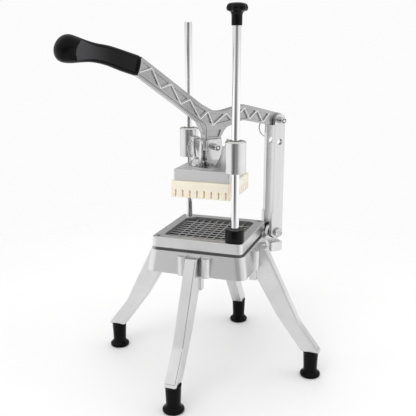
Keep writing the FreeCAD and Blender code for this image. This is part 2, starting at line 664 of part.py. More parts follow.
def make_pusher_holder():
    """Metal pan that the ivory block's boss sits in."""
    body = new_body("pusher_holder")
    pan = sketch(body, "pan", lift=slab_top, turn=TURN)
    rectangle(pan, holder_side, holder_side)
    grow(body, pan, d.holder_high)
    soften(body, edges_where(body, lambda e: runs_along(e, 0, 0, 1)), d.edge_round * 1.4)
    soften(body, edges_where(body, lambda e: lies_at_height(e, holder_top.value)),
           d.edge_round * 0.6)
    inside = sketch(body, "pan_inside", lift=slab_top, turn=TURN)
    rectangle(inside, holder_side - d.holder_wall * 2, holder_side - d.holder_wall * 2)
    cut(body, inside, d.holder_high - d.holder_wall, reverse=True)
    studs = sketch(body, "pan_holes", lift=holder_top)
    for sign in (-1, 1):
        circle(studs, d.stud_dia + d.rod_fit * 2, d.stud_place * sign, 0)
    cut(body, studs, d.holder_wall)
    return body


def make_pusher_head():
    """Cast yoke: two sleeves joined by a scooped web, a round foot and a clevis."""
    body = new_body("pusher_head")
    web = sketch(body, "web", "YZ")
    foot = rod_offset - d.web_inset
    right = [(foot, holder_top), (foot + 2, d.sleeve_low + 1), (rod_offset, d.sleeve_low + 1),
             (rod_offset, d.web_top)]
    outline(web, right + [(-y, z) for y, z in reversed(right)])
    grow(body, web, d.web_thick, both=True)
    scoop = sketch(body, "web_scoop", "YZ")
    circle(scoop, d.scoop_dia, 0, d.scoop_z)
    cut(body, scoop, d.web_thick * 2, both=True)
    disc = sketch(body, "head_disc", lift=holder_top)
    circle(disc, d.disc_dia)
    grow(body, disc, d.disc_thick)
    saddle = sketch(body, "saddle", lift=disc_top)
    rectangle(saddle, d.cheek_wide, d.saddle_wide)
    grow(body, saddle, d.saddle_thick)
    cheeks = sketch(body, "cheeks", lift=saddle_top)
    for sign in (-1, 1):
        rectangle(cheeks, d.cheek_wide, d.cheek_thick, 0, (cheek_face + cheek_back) / 2 * sign)
    grow(body, cheeks, cheek_top - saddle_top)
    corner = d.cheek_wide / 2
    soften(body, edges_where(body, lambda e: runs_along(e, 0, 1, 0)
                             and abs(e.BoundBox.ZMin - cheek_top.value) < 0.01
                             and abs(abs(e.BoundBox.XMin) - corner.value) < 0.01),
           d.cheek_round)
    sleeves = sketch(body, "sleeves", lift=d.sleeve_low)
    for sign in (-1, 1):
        circle(sleeves, d.sleeve_dia, 0, rod_offset * sign)
    grow(body, sleeves, d.sleeve_high)
    rims = edges_where(body, lambda e: lies_at_height(e, sleeve_top.value))
    soften(body, rims, d.edge_round, "Chamfer")
    bores = sketch(body, "sleeve_bores", lift=sleeve_top)
    for sign in (-1, 1):
        circle(bores, d.bush_dia + d.bush_slip * 2, 0, rod_offset * sign)
    cut(body, bores, sleeve_top - holder_top)
    pin = sketch(body, "pin_bore", "XZ")
    circle(pin, d.pin_dia + d.pin_fit * 2, 0, clevis_z)
    cut(body, pin, cheek_back * 3, both=True)
    studs = sketch(body, "head_stud_holes", lift=disc_top)
    for sign in (-1, 1):
        circle(studs, d.stud_dia + d.rod_fit * 2, d.stud_place * sign, 0)
    cut(body, studs, d.disc_thick)
    return body


def make_bush(label, side):
    """Plain bush pressed in a sleeve, with a running bore for the rod."""
    body = new_body(label)
    bind(body, "Placement.Base.y", rod_offset * side)
    ring = sketch(body, label + "_ring", lift=d.sleeve_low)
    circle(ring, d.bush_dia)
    circle(ring, d.rod_dia + d.rod_fit * 2)
    grow(body, ring, d.sleeve_high + d.bush_proud)
    return body


def make_stud(label, side):
    body = new_body(label)
    bind(body, "Placement.Base.x", tower_x + d.stud_place * side)
    shaft = sketch(body, label + "_shaft", lift=slab_top - d.stud_deep)
    circle(shaft, d.stud_dia)
    grow(body, shaft, disc_top + d.wing_hub_high + d.stud_proud - slab_top + d.stud_deep)
    tip = (disc_top + d.wing_hub_high + d.stud_proud).value
    soften(body, edges_where(body, lambda e: lies_at_height(e, tip)), 0.6, "Chamfer")
    return body


def make_wing_nut(label, side):
    """Tall wing nut whose wings stand clear of the lever on both sides."""
    body = new_body(label)
    bind(body, "Placement.Base.x", tower_x + d.stud_place * side)
    hub = sketch(body, label + "_hub", "XZ")
    wide, low, high = d.wing_hub_dia / 2, disc_top, disc_top + d.wing_hub_high
    outline(hub, [(0, low), (wide, low), (wide, low + 2), (wide - 1.2, high - 1),
                  (wide - 2.2, high), (0, high)])
    turn_solid(body, hub)
    wings = sketch(body, label + "_wings", "YZ")
    top = disc_top + d.wing_high
    for sign in (-1, 1):
        foot = [(wide * 0.5, high - 5), (wide - 1, low + 2), (wide + 3, low + 5),
                (d.wing_reach, high + 4), (d.wing_reach + 1.2, top - 4),
                (d.wing_reach - 1, top), (d.wing_gap + 3, top - 1),
                (d.wing_gap + 0.4, high + 5), (d.wing_gap - 1.2, high - 1)]
        outline(wings, [(y * sign, z) for y, z in foot])
    grow(body, wings, d.wing_thick, both=True)
    bore = sketch(body, label + "_bore", lift=high + 1)
    circle(bore, d.stud_dia + d.rod_fit * 2)
    cut(body, bore, d.wing_hub_high + 2)
    return body


def make_lock_pin(label, x, z, back, eye_angle):
    """Quick-release pin: plain nose, flange, and a drilled tail for its ring."""
    body = new_body(label)
    bind(body, "Placement.Base.x", tower_x + x)
    bind(body, "Placement.Base.z", z)
    profile = sketch(body, label + "_profile")
    thick, head = d.pin_dia / 2, d.pin_head_dia / 2
    nose, flange, tail = -(back + d.pin_nose), back + d.pin_slip, back + d.pin_tail
    outline(profile, [(0, nose), (thick - 1, nose), (thick, nose + 1), (thick, flange),
                      (head, flange), (head, flange + d.pin_flange_high),
                      (thick, flange + d.pin_flange_high), (thick, tail - 1), (thick - 1, tail),
                      (0, tail)])
    turn_solid(body, profile)
    if eye_angle is None:
        eye = sketch(body, label + "_eye", "YZ")
        circle(eye, d.eye_dia, back + d.eye_place, 0)
    else:
        eye = sketch(body, label + "_eye", "XY")
        eye.AttachmentOffset = FreeCAD.Placement(
            FreeCAD.Vector(), FreeCAD.Rotation(FreeCAD.Vector(0, 1, 0), eye_angle))
        circle(eye, d.eye_dia, 0, back + d.eye_place)
    cut(body, eye, d.pin_dia * 2, both=True)
    return body


def make_lower_pin():
    """Headed pin held in the base's lug, which the links turn on."""
    body = new_body("link_pin_lower")
    bind(body, "Placement.Base.x", tower_x + link_x)
    bind(body, "Placement.Base.z", d.link_low)
    profile = sketch(body, "lower_pin_profile")
    thick, head = d.pin_dia / 2, d.pin_head_dia / 2
    near_face = -(link_back + d.pin_slip)
    tail = link_back + d.pin_tail_low
    outline(profile, [(0, near_face - d.pin_head_high), (head - 0.8, near_face - d.pin_head_high),
                      (head, near_face - d.pin_head_high + 0.8), (head, near_face),
                      (thick, near_face), (thick, tail - 1), (thick - 1, tail), (0, tail)])
    turn_solid(body, profile)
    clip = sketch(body, "pin_clip", "XZ", lift=-(link_back + d.pin_slip))
    circle(clip, d.clip_dia)
    grow(body, clip, d.clip_thick, reverse=True)
    return body


def make_ring(label, x, y, z, angle):
    """Split ring of flat wire in a pin's eye; angle is measured from straight down."""
    body = new_body(label)
    arm = d.ring_dia / 2
    bind(body, "Placement.Base.x", tower_x + x - arm * sine(angle))
    bind(body, "Placement.Base.y", y)
    bind(body, "Placement.Base.z", z - arm * cosine(angle))
    wire = sketch(body, label + "_wire")
    half, cant = d.ring_wire / 2, d.ring_wire / 4
    outline(wire, [(arm - half, -cant), (arm - cant, -half), (arm + cant, -half),
                   (arm + half, -cant), (arm + half, cant), (arm + cant, half),
                   (arm - cant, half), (arm - half, cant)])
    turn_solid(body, wire)
    return body


def make_link(label, side):
    """Flat bar between the lug and the lever, with a spare hole near its top."""
    body = new_body(label)
    middle = (link_face + link_back) / 2
    place = -(middle * side) - d.link_thick / 2
    bar = sketch(body, label + "_bar", "XZ", lift=place)
    obround(bar, d.link_wide, (link_x, d.link_low), (link_x, d.link_top))
    grow(body, bar, d.link_thick)
    heel = sketch(body, label + "_heel", "XZ", lift=place)
    obround(heel, d.link_wide, (link_x - d.link_heel, d.link_low),
            (link_x - d.link_heel, d.link_heel_top))
    grow(body, heel, d.link_thick)
    holes = sketch(body, label + "_holes", "XZ", lift=place)
    for z in (d.link_low, d.link_top - d.link_spare, d.link_top):
        circle(holes, d.pin_dia + d.pin_fit * 2, link_x, z)
    cut(body, holes, d.link_thick, reverse=True)
    return body


def between(start, end, share):
    return tuple(a + (b - a) * share for a, b in zip(start, end))


def pockets(item, upper, lower):
    """Triangular pockets along two rails, with a zigzag rib left between them."""
    for index in range(len(upper) - 1):
        first, second = (upper, lower) if index % 2 == 0 else (lower, upper)
        corners = (first[index], first[index + 1], second[index])
        if index:
            corners = (first[index - 1], first[index + 1], second[index])
        middle = tuple(sum((c[axis] for c in corners), start=Size(0.0, "0.0")) / 3
                       for axis in (0, 1))
        outline(item, [between(middle, corner, d.pocket_share) for corner in corners])


def stations(corners, bays):
    """Points along a rail through its corners, with so many bays between each two."""
    points = []
    for start, end, count in zip(corners, corners[1:], bays):
        points += [between(start, end, step / count) for step in range(count)]
    return points + [corners[-1]]


def make_lever_arm():
    """Cast lever: a leg in the clevis, an arm to the links and one to the grip."""
    body = new_body("lever_arm")
    pivot = clevis_z
    lean, rise = cosine(d.grip_tilt), sine(d.grip_tilt)
    half = d.grip_neck_dia / 2 - 0.8
    neck_top = (-d.grip_start + rise * half, d.grip_axis_z + lean * half)
    neck_low = (-d.grip_start - rise * half, d.grip_axis_z - lean * half)
    elbow = (-d.elbow_x, pivot + d.elbow_high)
    valley = (d.valley_x, pivot + d.valley_high)
    crest = (d.crest_x, pivot + d.crest_high)
    belly = (d.crest_x - 4, pivot + d.belly_high)
    throat = (d.throat_x, pivot + d.throat_high)
    shoulder = (d.leg_half, pivot + d.shoulder_high)
    armpit = (-d.elbow_x - 3, pivot + d.armpit_high)
    form = sketch(body, "lever_form", "XZ")
    outline(form, [neck_top, elbow, valley, crest, (link_x, d.link_top + d.lever_round),
                   (link_x, d.link_top - d.lever_round), belly, throat, shoulder,
                   (d.leg_half, pivot), (-d.leg_half, pivot),
                   (-d.leg_half, pivot + d.shoulder_high + 3), armpit, neck_low])
    grow(body, form, d.lever_thick, both=True)
    for corner, radius in ((elbow, 42.0), (valley, 34.0), (crest, 26.0), (belly, 14.0),
                           (throat, 12.0), (armpit, 9.0)):
        soften(body, edges_where(body, lambda e: runs_along(e, 0, 1, 0)
                                 and near(e, corner[0], corner[1], 0.05)), radius)
    for name, across, x, z in (("link_eye", d.lever_round * 2, link_x, d.link_top),
                               ("leg_eye", d.leg_half * 2, 0, pivot)):
        eye = sketch(body, name, "XZ")
        circle(eye, across, x, z)
        grow(body, eye, d.lever_thick, both=True)
    tang = sketch(body, "tang", "XZ")
    high = d.tang_high / 2
    base_x, base_z = -d.grip_start + lean * 2, d.grip_axis_z - rise * 2
    tip_x = -d.grip_start - lean * d.tang_long
    tip_z = d.grip_axis_z + rise * d.tang_long
    outline(tang, [(base_x + rise * high, base_z + lean * high),
                   (tip_x + rise * high, tip_z + lean * high),
                   (tip_x - rise * high, tip_z - lean * high),
                   (base_x - rise * high, base_z - lean * high)])
    grow(body, tang, d.tang_thick, both=True)
    recess = sketch(body, "truss_pockets", "XZ", lift=d.lever_thick / 2)
    rim, down = d.rim_wide, d.rim_wide * 1.3
    end_x = link_x - d.lever_round - rim
    upper = stations([(neck_top[0] + 1, neck_top[1] - down), (elbow[0] - 3, elbow[1] - down),
                      (valley[0], valley[1] - down), (crest[0] - 1, crest[1] - down),
                      (end_x, d.link_top + d.lever_round)], (6, 2, 3, 4))
    lower = stations([(neck_low[0] + 3, neck_low[1] + down), (armpit[0] + 2, armpit[1] + down),
                      (0, throat[1] + rim), (belly[0], belly[1] + rim),
                      (end_x, d.link_top - d.lever_round + down)], (6, 2, 3, 4))
    pockets(recess, upper, lower)
    panel = d.leg_half - rim
    outline(recess, [(-panel, shoulder[1]), (panel, shoulder[1]),
                     (d.leg_half, throat[1] - rim), (-d.leg_half, throat[1] - rim)])
    near_side = cut(body, recess, d.panel_deep)
    mirror = body.newObject("PartDesign::Mirrored", "truss_far_side")
    mirror.Originals = [near_side]
    plane = next(f for f in body.Origin.OriginFeatures if f.Role == "XZ_Plane")
    mirror.MirrorPlane = (plane, [""])
    body.Tip = mirror
    doc.recompute()
    slot = sketch(body, "open_pivot_slot", "XZ")
    reach = (d.slot_long - d.slot_high) / 2
    obround(slot, d.slot_high, (-reach, pivot - d.slot_drop), (reach, pivot - d.slot_drop))
    cut(body, slot, d.lever_thick * 2, both=True)
    bore = sketch(body, "link_bore", "XZ")
    circle(bore, d.pin_dia + d.pin_fit * 2, link_x, d.link_top)
    cut(body, bore, d.lever_thick * 2, both=True)
    return body


def make_grip():
    """Black grip lofted through round sections, with a ball at its end."""
    body = new_body("lever_grip")
    bind(body, "Placement.Base.x", tower_x - d.grip_start)
    bind(body, "Placement.Base.z", d.grip_axis_z)
    body.Placement.Rotation = FreeCAD.Rotation(FreeCAD.Vector(0, 1, 0), SIZES["grip_tilt"])
    bind(body, "Placement.Rotation.Angle", d.grip_tilt)
    neck, waist, ball = d.grip_neck_dia, d.grip_waist_dia, d.grip_ball_dia
    shape = ((0.0, neck, 0.0), (0.19, neck, 0.45), (0.39, waist + 0.4, 1.0),
             (0.55, waist, 0.8), (0.67, waist + 3.4, 0.45), (0.77, ball - 2.2, 0.15),
             (0.85, ball, 0.0), (0.925, ball - 3.2, -0.25), (0.975, ball * 0.66, -0.5),
             (1.0, ball * 0.26, -0.6))
    sections = []
    for index, (share, across, lift) in enumerate(shape):
        ring = sketch(body, f"grip_ring{index}", "YZ", lift=-d.grip_long * share)
        circle(ring, across, 0, d.grip_rise * lift)
        sections.append(ring)
    loft = body.newObject("PartDesign::AdditiveLoft", "grip_loft")
    loft.Profile = sections[0]
    loft.Sections = sections[1:]
    loft.Ruled = True
    doc.recompute()
    socket = sketch(body, "grip_socket", "YZ")
    rectangle(socket, d.tang_thick + d.tang_slip * 2, d.tang_high + d.tang_slip * 2)
    cut(body, socket, d.tang_long + 1)
    return body


def hex_piece(name, flats, high):
    piece = doc.addObject("Part::Prism", name)
    piece.Polygon = 6
    bind(piece, "Circumradius", as_size(flats) * (1 / math.sqrt(3)))
    bind(piece, "Height", high)
    return piece


def round_piece(name, across, high, kind="Part::Cylinder"):
    piece = doc.addObject(kind, name)
    bind(piece, "Radius", as_size(across) / 2)
    bind(piece, "Height", high)
    return piece


def join(name, kind, first, second):
    piece = doc.addObject("Part::" + kind, name)
    piece.Base, piece.Tool = first, second
    return piece


def gather(label, pieces):
    """Like fasteners kept in one node as separate solids."""
    group = doc.addObject("Part::Compound", label)
    group.Label = label
    group.Links = pieces
    bind(group, "Placement.Base.x", tower_x)
    parts.append(group)
    return group


def make_rod_nuts():
    nuts = []
    for side, word in ((-1, "near"), (1, "far")):
        nut = hex_piece(f"nut_{word}", d.nut_flats, d.nut_high)
        hole = round_piece(f"nut_hole_{word}", d.rod_tail_dia + d.rod_fit * 2, d.nut_high)
        for piece in (nut, hole):
            bind(piece, "Placement.Base.y", rod_offset * side)
            bind(piece, "Placement.Base.z", d.base_top - d.deck_thick - d.nut_high)
        nuts.append(join(f"rod_nut_{word}", "Cut", nut, hole))
    return gather("rod_nuts", nuts)


def make_plate_screws():
    screws = []
    for side, word in ((-1, "grip_side"), (1, "link_side")):
        shank = round_piece(f"shank_{word}", d.screw_dia,
                            d.plate_thick + d.frame_thick + d.deck_thick - d.screw_head_high)
        head = round_piece(f"head_{word}", d.screw_head, d.screw_head_high)
        bind(shank, "Placement.Base.z", d.base_top - d.deck_thick)
        bind(head, "Placement.Base.z", plate_top - d.screw_head_high)
        whole = join(f"screw_{word}", "Fuse", shank, head)
        socket = hex_piece(f"socket_{word}", d.socket_flats, d.socket_deep)
        bind(socket, "Placement.Base.z", plate_top - d.socket_deep)
        for piece in (shank, head, socket):
            bind(piece, "Placement.Base.x", screw_place * side)
        screws.append(join(f"plate_screw_{word}", "Cut", whole, socket))
    return gather("plate_screws", screws)


def make_leg_bolts():
    bolts = []
    inner = plate_side / 2 - d.skirt_wall
    for index, heading in enumerate(LEG_HEADINGS.values()):
        angle = Size(heading, str(heading))
        shank = round_piece(f"bolt_shank{index}", d.leg_bolt_dia,
                            leg_seat - inner + d.leg_bolt_deep)
        head = hex_piece(f"bolt_head{index}", d.nut_flats, d.leg_bolt_head)
        turn = FreeCAD.Rotation(FreeCAD.Vector(0, 0, 1), heading) * FreeCAD.Rotation(
            FreeCAD.Vector(0, 1, 0), 90)
        for piece, reach in ((shank, inner), (head, inner - d.leg_bolt_head)):
            piece.Placement.Rotation = turn
            bind(piece, "Placement.Base.x", reach * cosine(angle))
            bind(piece, "Placement.Base.y", reach * sine(angle))
            bind(piece, "Placement.Base.z", d.leg_bolt_place)
        bolts.append(join(f"leg_bolt{index}", "Fuse", shank, head))
    return gather("leg_bolts", bolts)


def make_washers():
    washers = []
    for side, word in ((-1, "near"), (1, "far")):
        disc = round_piece(f"washer_disc_{word}", d.washer_dia, d.washer_thick)
        hole = round_piece(f"washer_hole_{word}", d.pin_dia + d.pin_fit * 2, d.washer_thick)
        for piece in (disc, hole):
            piece.Placement.Rotation = FreeCAD.Rotation(FreeCAD.Vector(1, 0, 0), -90)
            bind(piece, "Placement.Base.x", link_x)
            start = d.lug_thick / 2 if side > 0 else -(d.lug_thick / 2 + d.washer_thick)
            bind(piece, "Placement.Base.y", start)
            bind(piece, "Placement.Base.z", d.link_low)
        washers.append(join(f"link_washer_{word}", "Cut", disc, hole))
    return gather("link_washers", washers)


LEG_HEADINGS = {"front": -135.0, "left": 135.0, "right": -45.0, "back": 45.0}

make_base_casting()
make_blade_frame()
for number in range(1, SIZES["cell_count"]):
    offset = d.cell_pitch * (number - SIZES["cell_count"] / 2)
    make_blade(f"blade_long_{number}", offset, crosswise=False)
    make_blade(f"blade_cross_{number}", offset, crosswise=True)
make_top_plate()
make_guide_rod("guide_rod_near", -1, d.knob_bottom + d.knob_grip)
make_guide_rod("guide_rod_far", 1, d.rod_top)
make_collar()
make_knob()
for word, heading in LEG_HEADINGS.items():
    make_leg(f"leg_{word}", heading)
    make_foot(f"foot_{word}", heading)
make_rod_nuts()
make_plate_screws()
make_leg_bolts()
make_lower_pin()
make_washers()
make_pusher_block()
make_pusher_holder()
make_pusher_head()
for word, side in (("near", -1), ("far", 1)):
    make_bush(f"sleeve_bush_{word}", side)
    make_link(f"link_{word}", side)
for word, side in (("grip_side", -1), ("link_side", 1)):
    make_stud(f"pusher_stud_{word}", side)
    make_wing_nut(f"wing_nut_{word}", side)
make_lock_pin("clevis_pin", Size(0.0, "0.0"), clevis_z, cheek_back, -SIZES["ring_droop"])
make_lock_pin("link_pin_upper", link_x, d.link_top, link_back, None)
make_ring("clevis_ring", Size(0.0, "0.0"), cheek_back + d.eye_place, clevis_z, 90 - d.ring_droop)
make_ring("link_ring", link_x, link_back + d.eye_place, d.link_top, Size(0.0, "0.0"))
make_lever_arm()
make_grip()
doc.recompute()

faults = [item.Name for item in doc.Objects if "Invalid" in item.State or "Error" in item.State]
faults += [item.Label for item in parts if item.Shape.isNull() or not item.Shape.isValid()]
if faults:
    raise RuntimeError("these did not build: " + ", ".join(faults))
os.makedirs("parts", exist_ok=True)
for item in parts:
    item.Shape.exportStep(f"parts/{item.Label}.step")
total = Part.makeCompound([item.Shape for item in parts]).BoundBox
print(len(parts), "sub-parts, box", round(total.XMin, 2), round(total.XMax, 2),
      round(total.YMin, 2), round(total.YMax, 2), round(total.ZMin, 2), round(total.ZMax, 2))
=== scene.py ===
"""A lever-operated french fry cutter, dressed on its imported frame."""

import math

import bmesh
import bpy
from bpy.props import FloatProperty, FloatVectorProperty, PointerProperty
from bpy.types import Operator, Panel, PropertyGroup
from mathutils import Matrix, Vector


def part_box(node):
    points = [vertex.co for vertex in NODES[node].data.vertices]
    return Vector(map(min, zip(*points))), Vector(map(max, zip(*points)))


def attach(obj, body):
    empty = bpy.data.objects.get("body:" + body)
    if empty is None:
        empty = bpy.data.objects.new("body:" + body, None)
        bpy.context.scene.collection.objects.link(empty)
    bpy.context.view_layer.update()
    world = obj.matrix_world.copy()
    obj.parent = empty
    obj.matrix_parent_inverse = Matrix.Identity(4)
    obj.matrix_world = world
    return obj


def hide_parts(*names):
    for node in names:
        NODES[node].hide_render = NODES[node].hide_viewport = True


bl_info = {
    "name": "French fry cutter",
    "version": (1, 0, 0),
    "blender": (4, 5, 0),
    "location": "3D View > Sidebar > Fry cutter",
    "description": "Dresses the cutter's frame with its finishes and small pieces",
    "category": "Object",
}

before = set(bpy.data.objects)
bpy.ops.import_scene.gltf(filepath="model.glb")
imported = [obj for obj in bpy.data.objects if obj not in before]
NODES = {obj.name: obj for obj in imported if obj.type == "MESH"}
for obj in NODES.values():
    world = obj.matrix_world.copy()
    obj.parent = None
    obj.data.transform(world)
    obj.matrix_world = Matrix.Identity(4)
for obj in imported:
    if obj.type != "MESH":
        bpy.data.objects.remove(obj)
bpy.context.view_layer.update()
MM = 0.001
ROOT_HALF = math.sqrt(0.5)
TOWER = sum(c.x for c in map(Vector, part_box("top_plate"))) / 2

# Places at which finishes change, in metres.
# Above this height the plate's top is painted darker: painted shade.
PLATE_SCRUBBED_ABOVE = 0.1907
# Above this height the blades are painted light: partly a real ground edge, partly painted
# highlight.
BLADE_EDGE_LOW = 0.1864
# The peg gaps, in which the ivory takes a painted glow.
PEG_PITCH, PEG_HALF_GAP, PEG_GAP_TOP = 0.009525, 0.0010125, 0.2502
# From one X to the other the grip's panel is made paler.
GRIP_WORN = (TOWER - 0.125, TOWER - 0.172)

# The grip, in millimetres round the tower: where its axis starts, its length and tilt,
# and along it pairs of (share, radius) and (share, lift off the axis).
GRIP_X, GRIP_Z, GRIP_LONG, GRIP_TILT = -97.0, 403.6, 100.5, math.radians(14.0)
GRIP_RADII = ((0.0, 12.1), (0.19, 12.1), (0.39, 11.4), (0.55, 11.2), (0.67, 12.9),
              (0.77, 15.1), (0.85, 16.2), (1.0, 16.2))
GRIP_LIFTS = ((0.0, 0.0), (0.19, 0.45), (0.39, 1.0), (0.55, 0.8), (0.67, 0.45),
              (0.77, 0.15), (0.85, 0.0), (0.925, -0.25), (1.0, -0.6))
GRIP_LIFT_HIGH = 3.4
GRIP_BALL, GRIP_BALL_LONG = 0.85, 0.15
GRIP_PIN = (-108.0, 8.0, 407.3)

# Outlines of turned pieces, as (radius, height) in millimetres, a third number being the
# rounding. The knob and the collar both have a hole for the rod.
ROD_HOLE = 5.06
KNOB_OUTLINE = ((ROD_HOLE, 0.0), (6.0, 0.0, 0.4), (6.3, 0.6, 0.3), (6.3, 12.0, 2.5),
                (7.6, 14.9, 1.5), (12.4, 16.4, 2.2), (12.85, 20.4, 2.6), (11.2, 23.8, 1.8),
                (6.0, 25.3, 3.0), (0.0, 25.6))
KNOB_LOBES = 7
NUT_OUTLINE = ((3.1, 0), (7.2, 0, 0.3), (7.5, 0.6, 0.3), (7.4, 2.4, 1.0), (5.9, 7.6, 1.4),
               (4.9, 9.0, 0.6), (3.6, 9.0, 0.3), (3.1, 8.4), (3.1, 0))
BUTTON_OUTLINE = ((0, -0.9), (1.7, -0.8, 0.4), (2.1, -0.3, 0.2), (2.1, 0.4))
TAIL_OUTLINE = ((0, 0.6), (2.4, 0.5, 0.5), (3.0, -0.2))
PIN_RIM_OUTLINE = ((0, 0.25), (3.2, 0.2, 0.6), (4.4, -0.45, 0.5), (5.0, -0.45, 0.4),
                   (5.25, 0.1))

# The rim of a wing nut's wing, as (distance from the stud's axis, height, rounding).
WING_RIM = ((3.9, 3.4, 0.5), (6.6, 1.6, 1.5), (10.4, 4.6, 3.5), (13.6, 13.0, 8.0),
            (14.6, 29.6, 3.6), (12.4, 34.0, 1.9), (9.6, 33.0, 2.2), (7.4, 14.0, 6.0),
            (5.5, 8.2, 1.6))

# Stands a flat outline up, its first axis along Y and its second along Z.
STANDING = Matrix(((0, 0, 1, 0), (1, 0, 0, 0), (0, 1, 0, 0), (0, 0, 0, 1)))
THREAD_PITCH = 1.0

# The lever's rails at the ends of the truss's straight runs, the bays in each run, and
# the corners of its lower rim: (x, z) in millimetres round the tower, a third number
# being the rounding. Then the distances from y = 0 of the faces of the ribs, which take a
# painted highlight, and of the rim lines, which are painted shade.
RAIL_HIGH = ((-93.3, 410.7), (-19.5, 352.2), (6, 339.6), (46, 348.6), (83.8, 339.7))
RAIL_LOW = ((-96.7, 396.5), (-17.5, 336.9), (0, 328.1), (43, 335.9), (83.8, 325.2))
RAIL_BAYS = (6, 2, 3, 4)
LOWER_RIM = ((-97.6, 394.4), (-18.2, 335.4, 7.0), (-9.0, 329.0, 5.0), (-9.6, 309.0))
RIB_FACE, RIM_FACE = 6.45, 6.5

# The dark lines of painted shade on a leg's outer edge, as (distance from the tower's
# axis, height), how far off the edge's middle they lie, and each leg's heading in degrees.
LEG_EDGE = ((77.3, 170.0), (124.0, 73.0), (149.6, 39.6))
LEG_LINE_OFF = 5.9
LEG_HEADINGS = {"front": -135, "left": 135, "right": -45, "back": 45}

# Split rings: the heading in degrees of the wire's start, its turns and half its width.
RING_STARTS = {"clevis_ring": 200.0, "link_ring": 250.0}
RING_TURNS, RING_HALF_WIDE = 1.93, 0.68

# The camera's place in millimetres and its direction, and the studio's headings.
CAMERA_PLACE, CAMERA_AHEAD = (-375.5, -755.8, 438.4), (0.42693, 0.86839, -0.25224)
FRONT_HEADING, FLANK_HEADING, CARD_HEADING = 243.8, 333.8, 216.0

# Each lamp's name, place and aim in millimetres, size in metres and power in watts.
LAMPS = (("key", (-700, -500, 1100), (0, 0, 200), 0.8, 3.6),
         ("fill", (900, -500, 700), (0, 0, 250), 1.0, 1.6),
         ("back", (300, 900, 900), (0, 0, 250), 0.9, 1.6))

# Finishes by name, filled by the first step.
FINISHES = {}


def spot(x, y, z):
    """A place in millimetres from the ground under the plates' centre, in metres."""
    return Vector((TOWER + x * MM, y * MM, z * MM))


class Field:
    """A number or colour that changes over a surface, written as an expression."""

    def __init__(self, finish, socket):
        self.finish, self.socket = finish, socket

    def _math(self, operation, first, second):
        return self.finish.node("Math", {"operation": operation}, first, second)

    def __add__(self, other):
        return self._math("ADD", self, other)

    def __sub__(self, other):
        return self._math("SUBTRACT", self, other)

    def __rsub__(self, other):
        return self._math("SUBTRACT", other, self)

    def __mul__(self, other):
        return self._math("MULTIPLY", self, other)

    __radd__ = __add__

    def clipped(self, low, high, to_low=0.0, to_high=1.0):
        """Stretch low..high to to_low..to_high and hold it there."""
        return self.finish.node("MapRange", {"interpolation_type": "SMOOTHSTEP"},
                                self, low, high, to_low, to_high)


class Finish:
    """A material or world under construction."""

    def __init__(self, owner):
        owner.use_nodes = True
        self.tree = owner.node_tree
        self.tree.nodes.clear()

    def node(self, kind, settings=None, *inputs, pick=0, **named):
        """Add a shader node and return its picked output. Inputs go by place or name."""
        item = self.tree.nodes.new("ShaderNode" + kind)
        for key, value in (settings or {}).items():
            setattr(item, key, value)
        for index, value in enumerate(inputs):
            self.feed(item.inputs[index], value)
        for key, value in named.items():
            self.feed(item.inputs[key.replace("_", " ")], value)
        return Field(self, item.outputs[pick])

    def feed(self, socket, value):
        """Link a field into a socket, or set a constant on it."""
        if isinstance(value, Field):
            self.tree.links.new(value.socket, socket)
        elif value is not None:
            socket.default_value = value

    def place(self):
        """Object coordinates, in metres."""
        return self.node("TexCoord", None, pick=3)

    def along(self, where, axis):
        """How far a place lies along X, Y or Z."""
        return self.node("SeparateXYZ", None, where, pick="XYZ".index(axis))

    def stretched(self, where, scale):
        """Scale a place axis by axis, which draws a pattern out along the small ones."""
        return self.node("Mapping", None, Vector=where, Scale=scale)

    def noise(self, where, scale, detail, rough, warp=0.0):
        """Fractal noise, its scale in cells per metre."""
        return self.node("TexNoise", None, Vector=where, Scale=scale, Detail=detail,
                         Roughness=rough, Distortion=warp)

    def blend(self, share, first, second):
        """Mix two colours by a share from 0 to 1."""
        item = self.tree.nodes.new("ShaderNodeMix")
        item.data_type = "RGBA"
        for index, value in ((0, share), (6, first), (7, second)):
            self.feed(item.inputs[index], value)
        return Field(self, item.outputs[2])

    def rounded(self, height, strength, distance, edge=0.0):
        """Bumps on a surface whose sharp edges catch the light as soft ones."""
        normal = self.node("Bevel", {"samples": 8}, Radius=edge) if edge else None
        return self.node("Bump", None, Strength=strength, Distance=distance, Height=height,
                         Normal=normal)

    def seam(self, where):
        """A thin raised line where the two halves of a mould met, on the plane Y = 0."""
        off = self.along(where, "Y")
        return (off * off).clipped(1e-8, 1.6e-7, 1.4, 0.0)

    def surface(self, **sockets):
        """End a material in one principled shader."""
        shader = self.tree.nodes.new("ShaderNodeBsdfPrincipled")
        for key, value in sockets.items():
            self.feed(shader.inputs[key.replace("_", " ")], value)
        out = self.tree.nodes.new("ShaderNodeOutputMaterial")
        self.tree.links.new(shader.outputs[0], out.inputs[0])


def tinted(colour, factor):
    """A lighter or darker shade of a colour."""
    return tuple(min(1.0, c * factor) for c in colour[:3]) + (1.0,)


def new_finish(name):
    """A new material and the finish that draws it."""
    material = bpy.data.materials.new(name)
    return material, Finish(material)


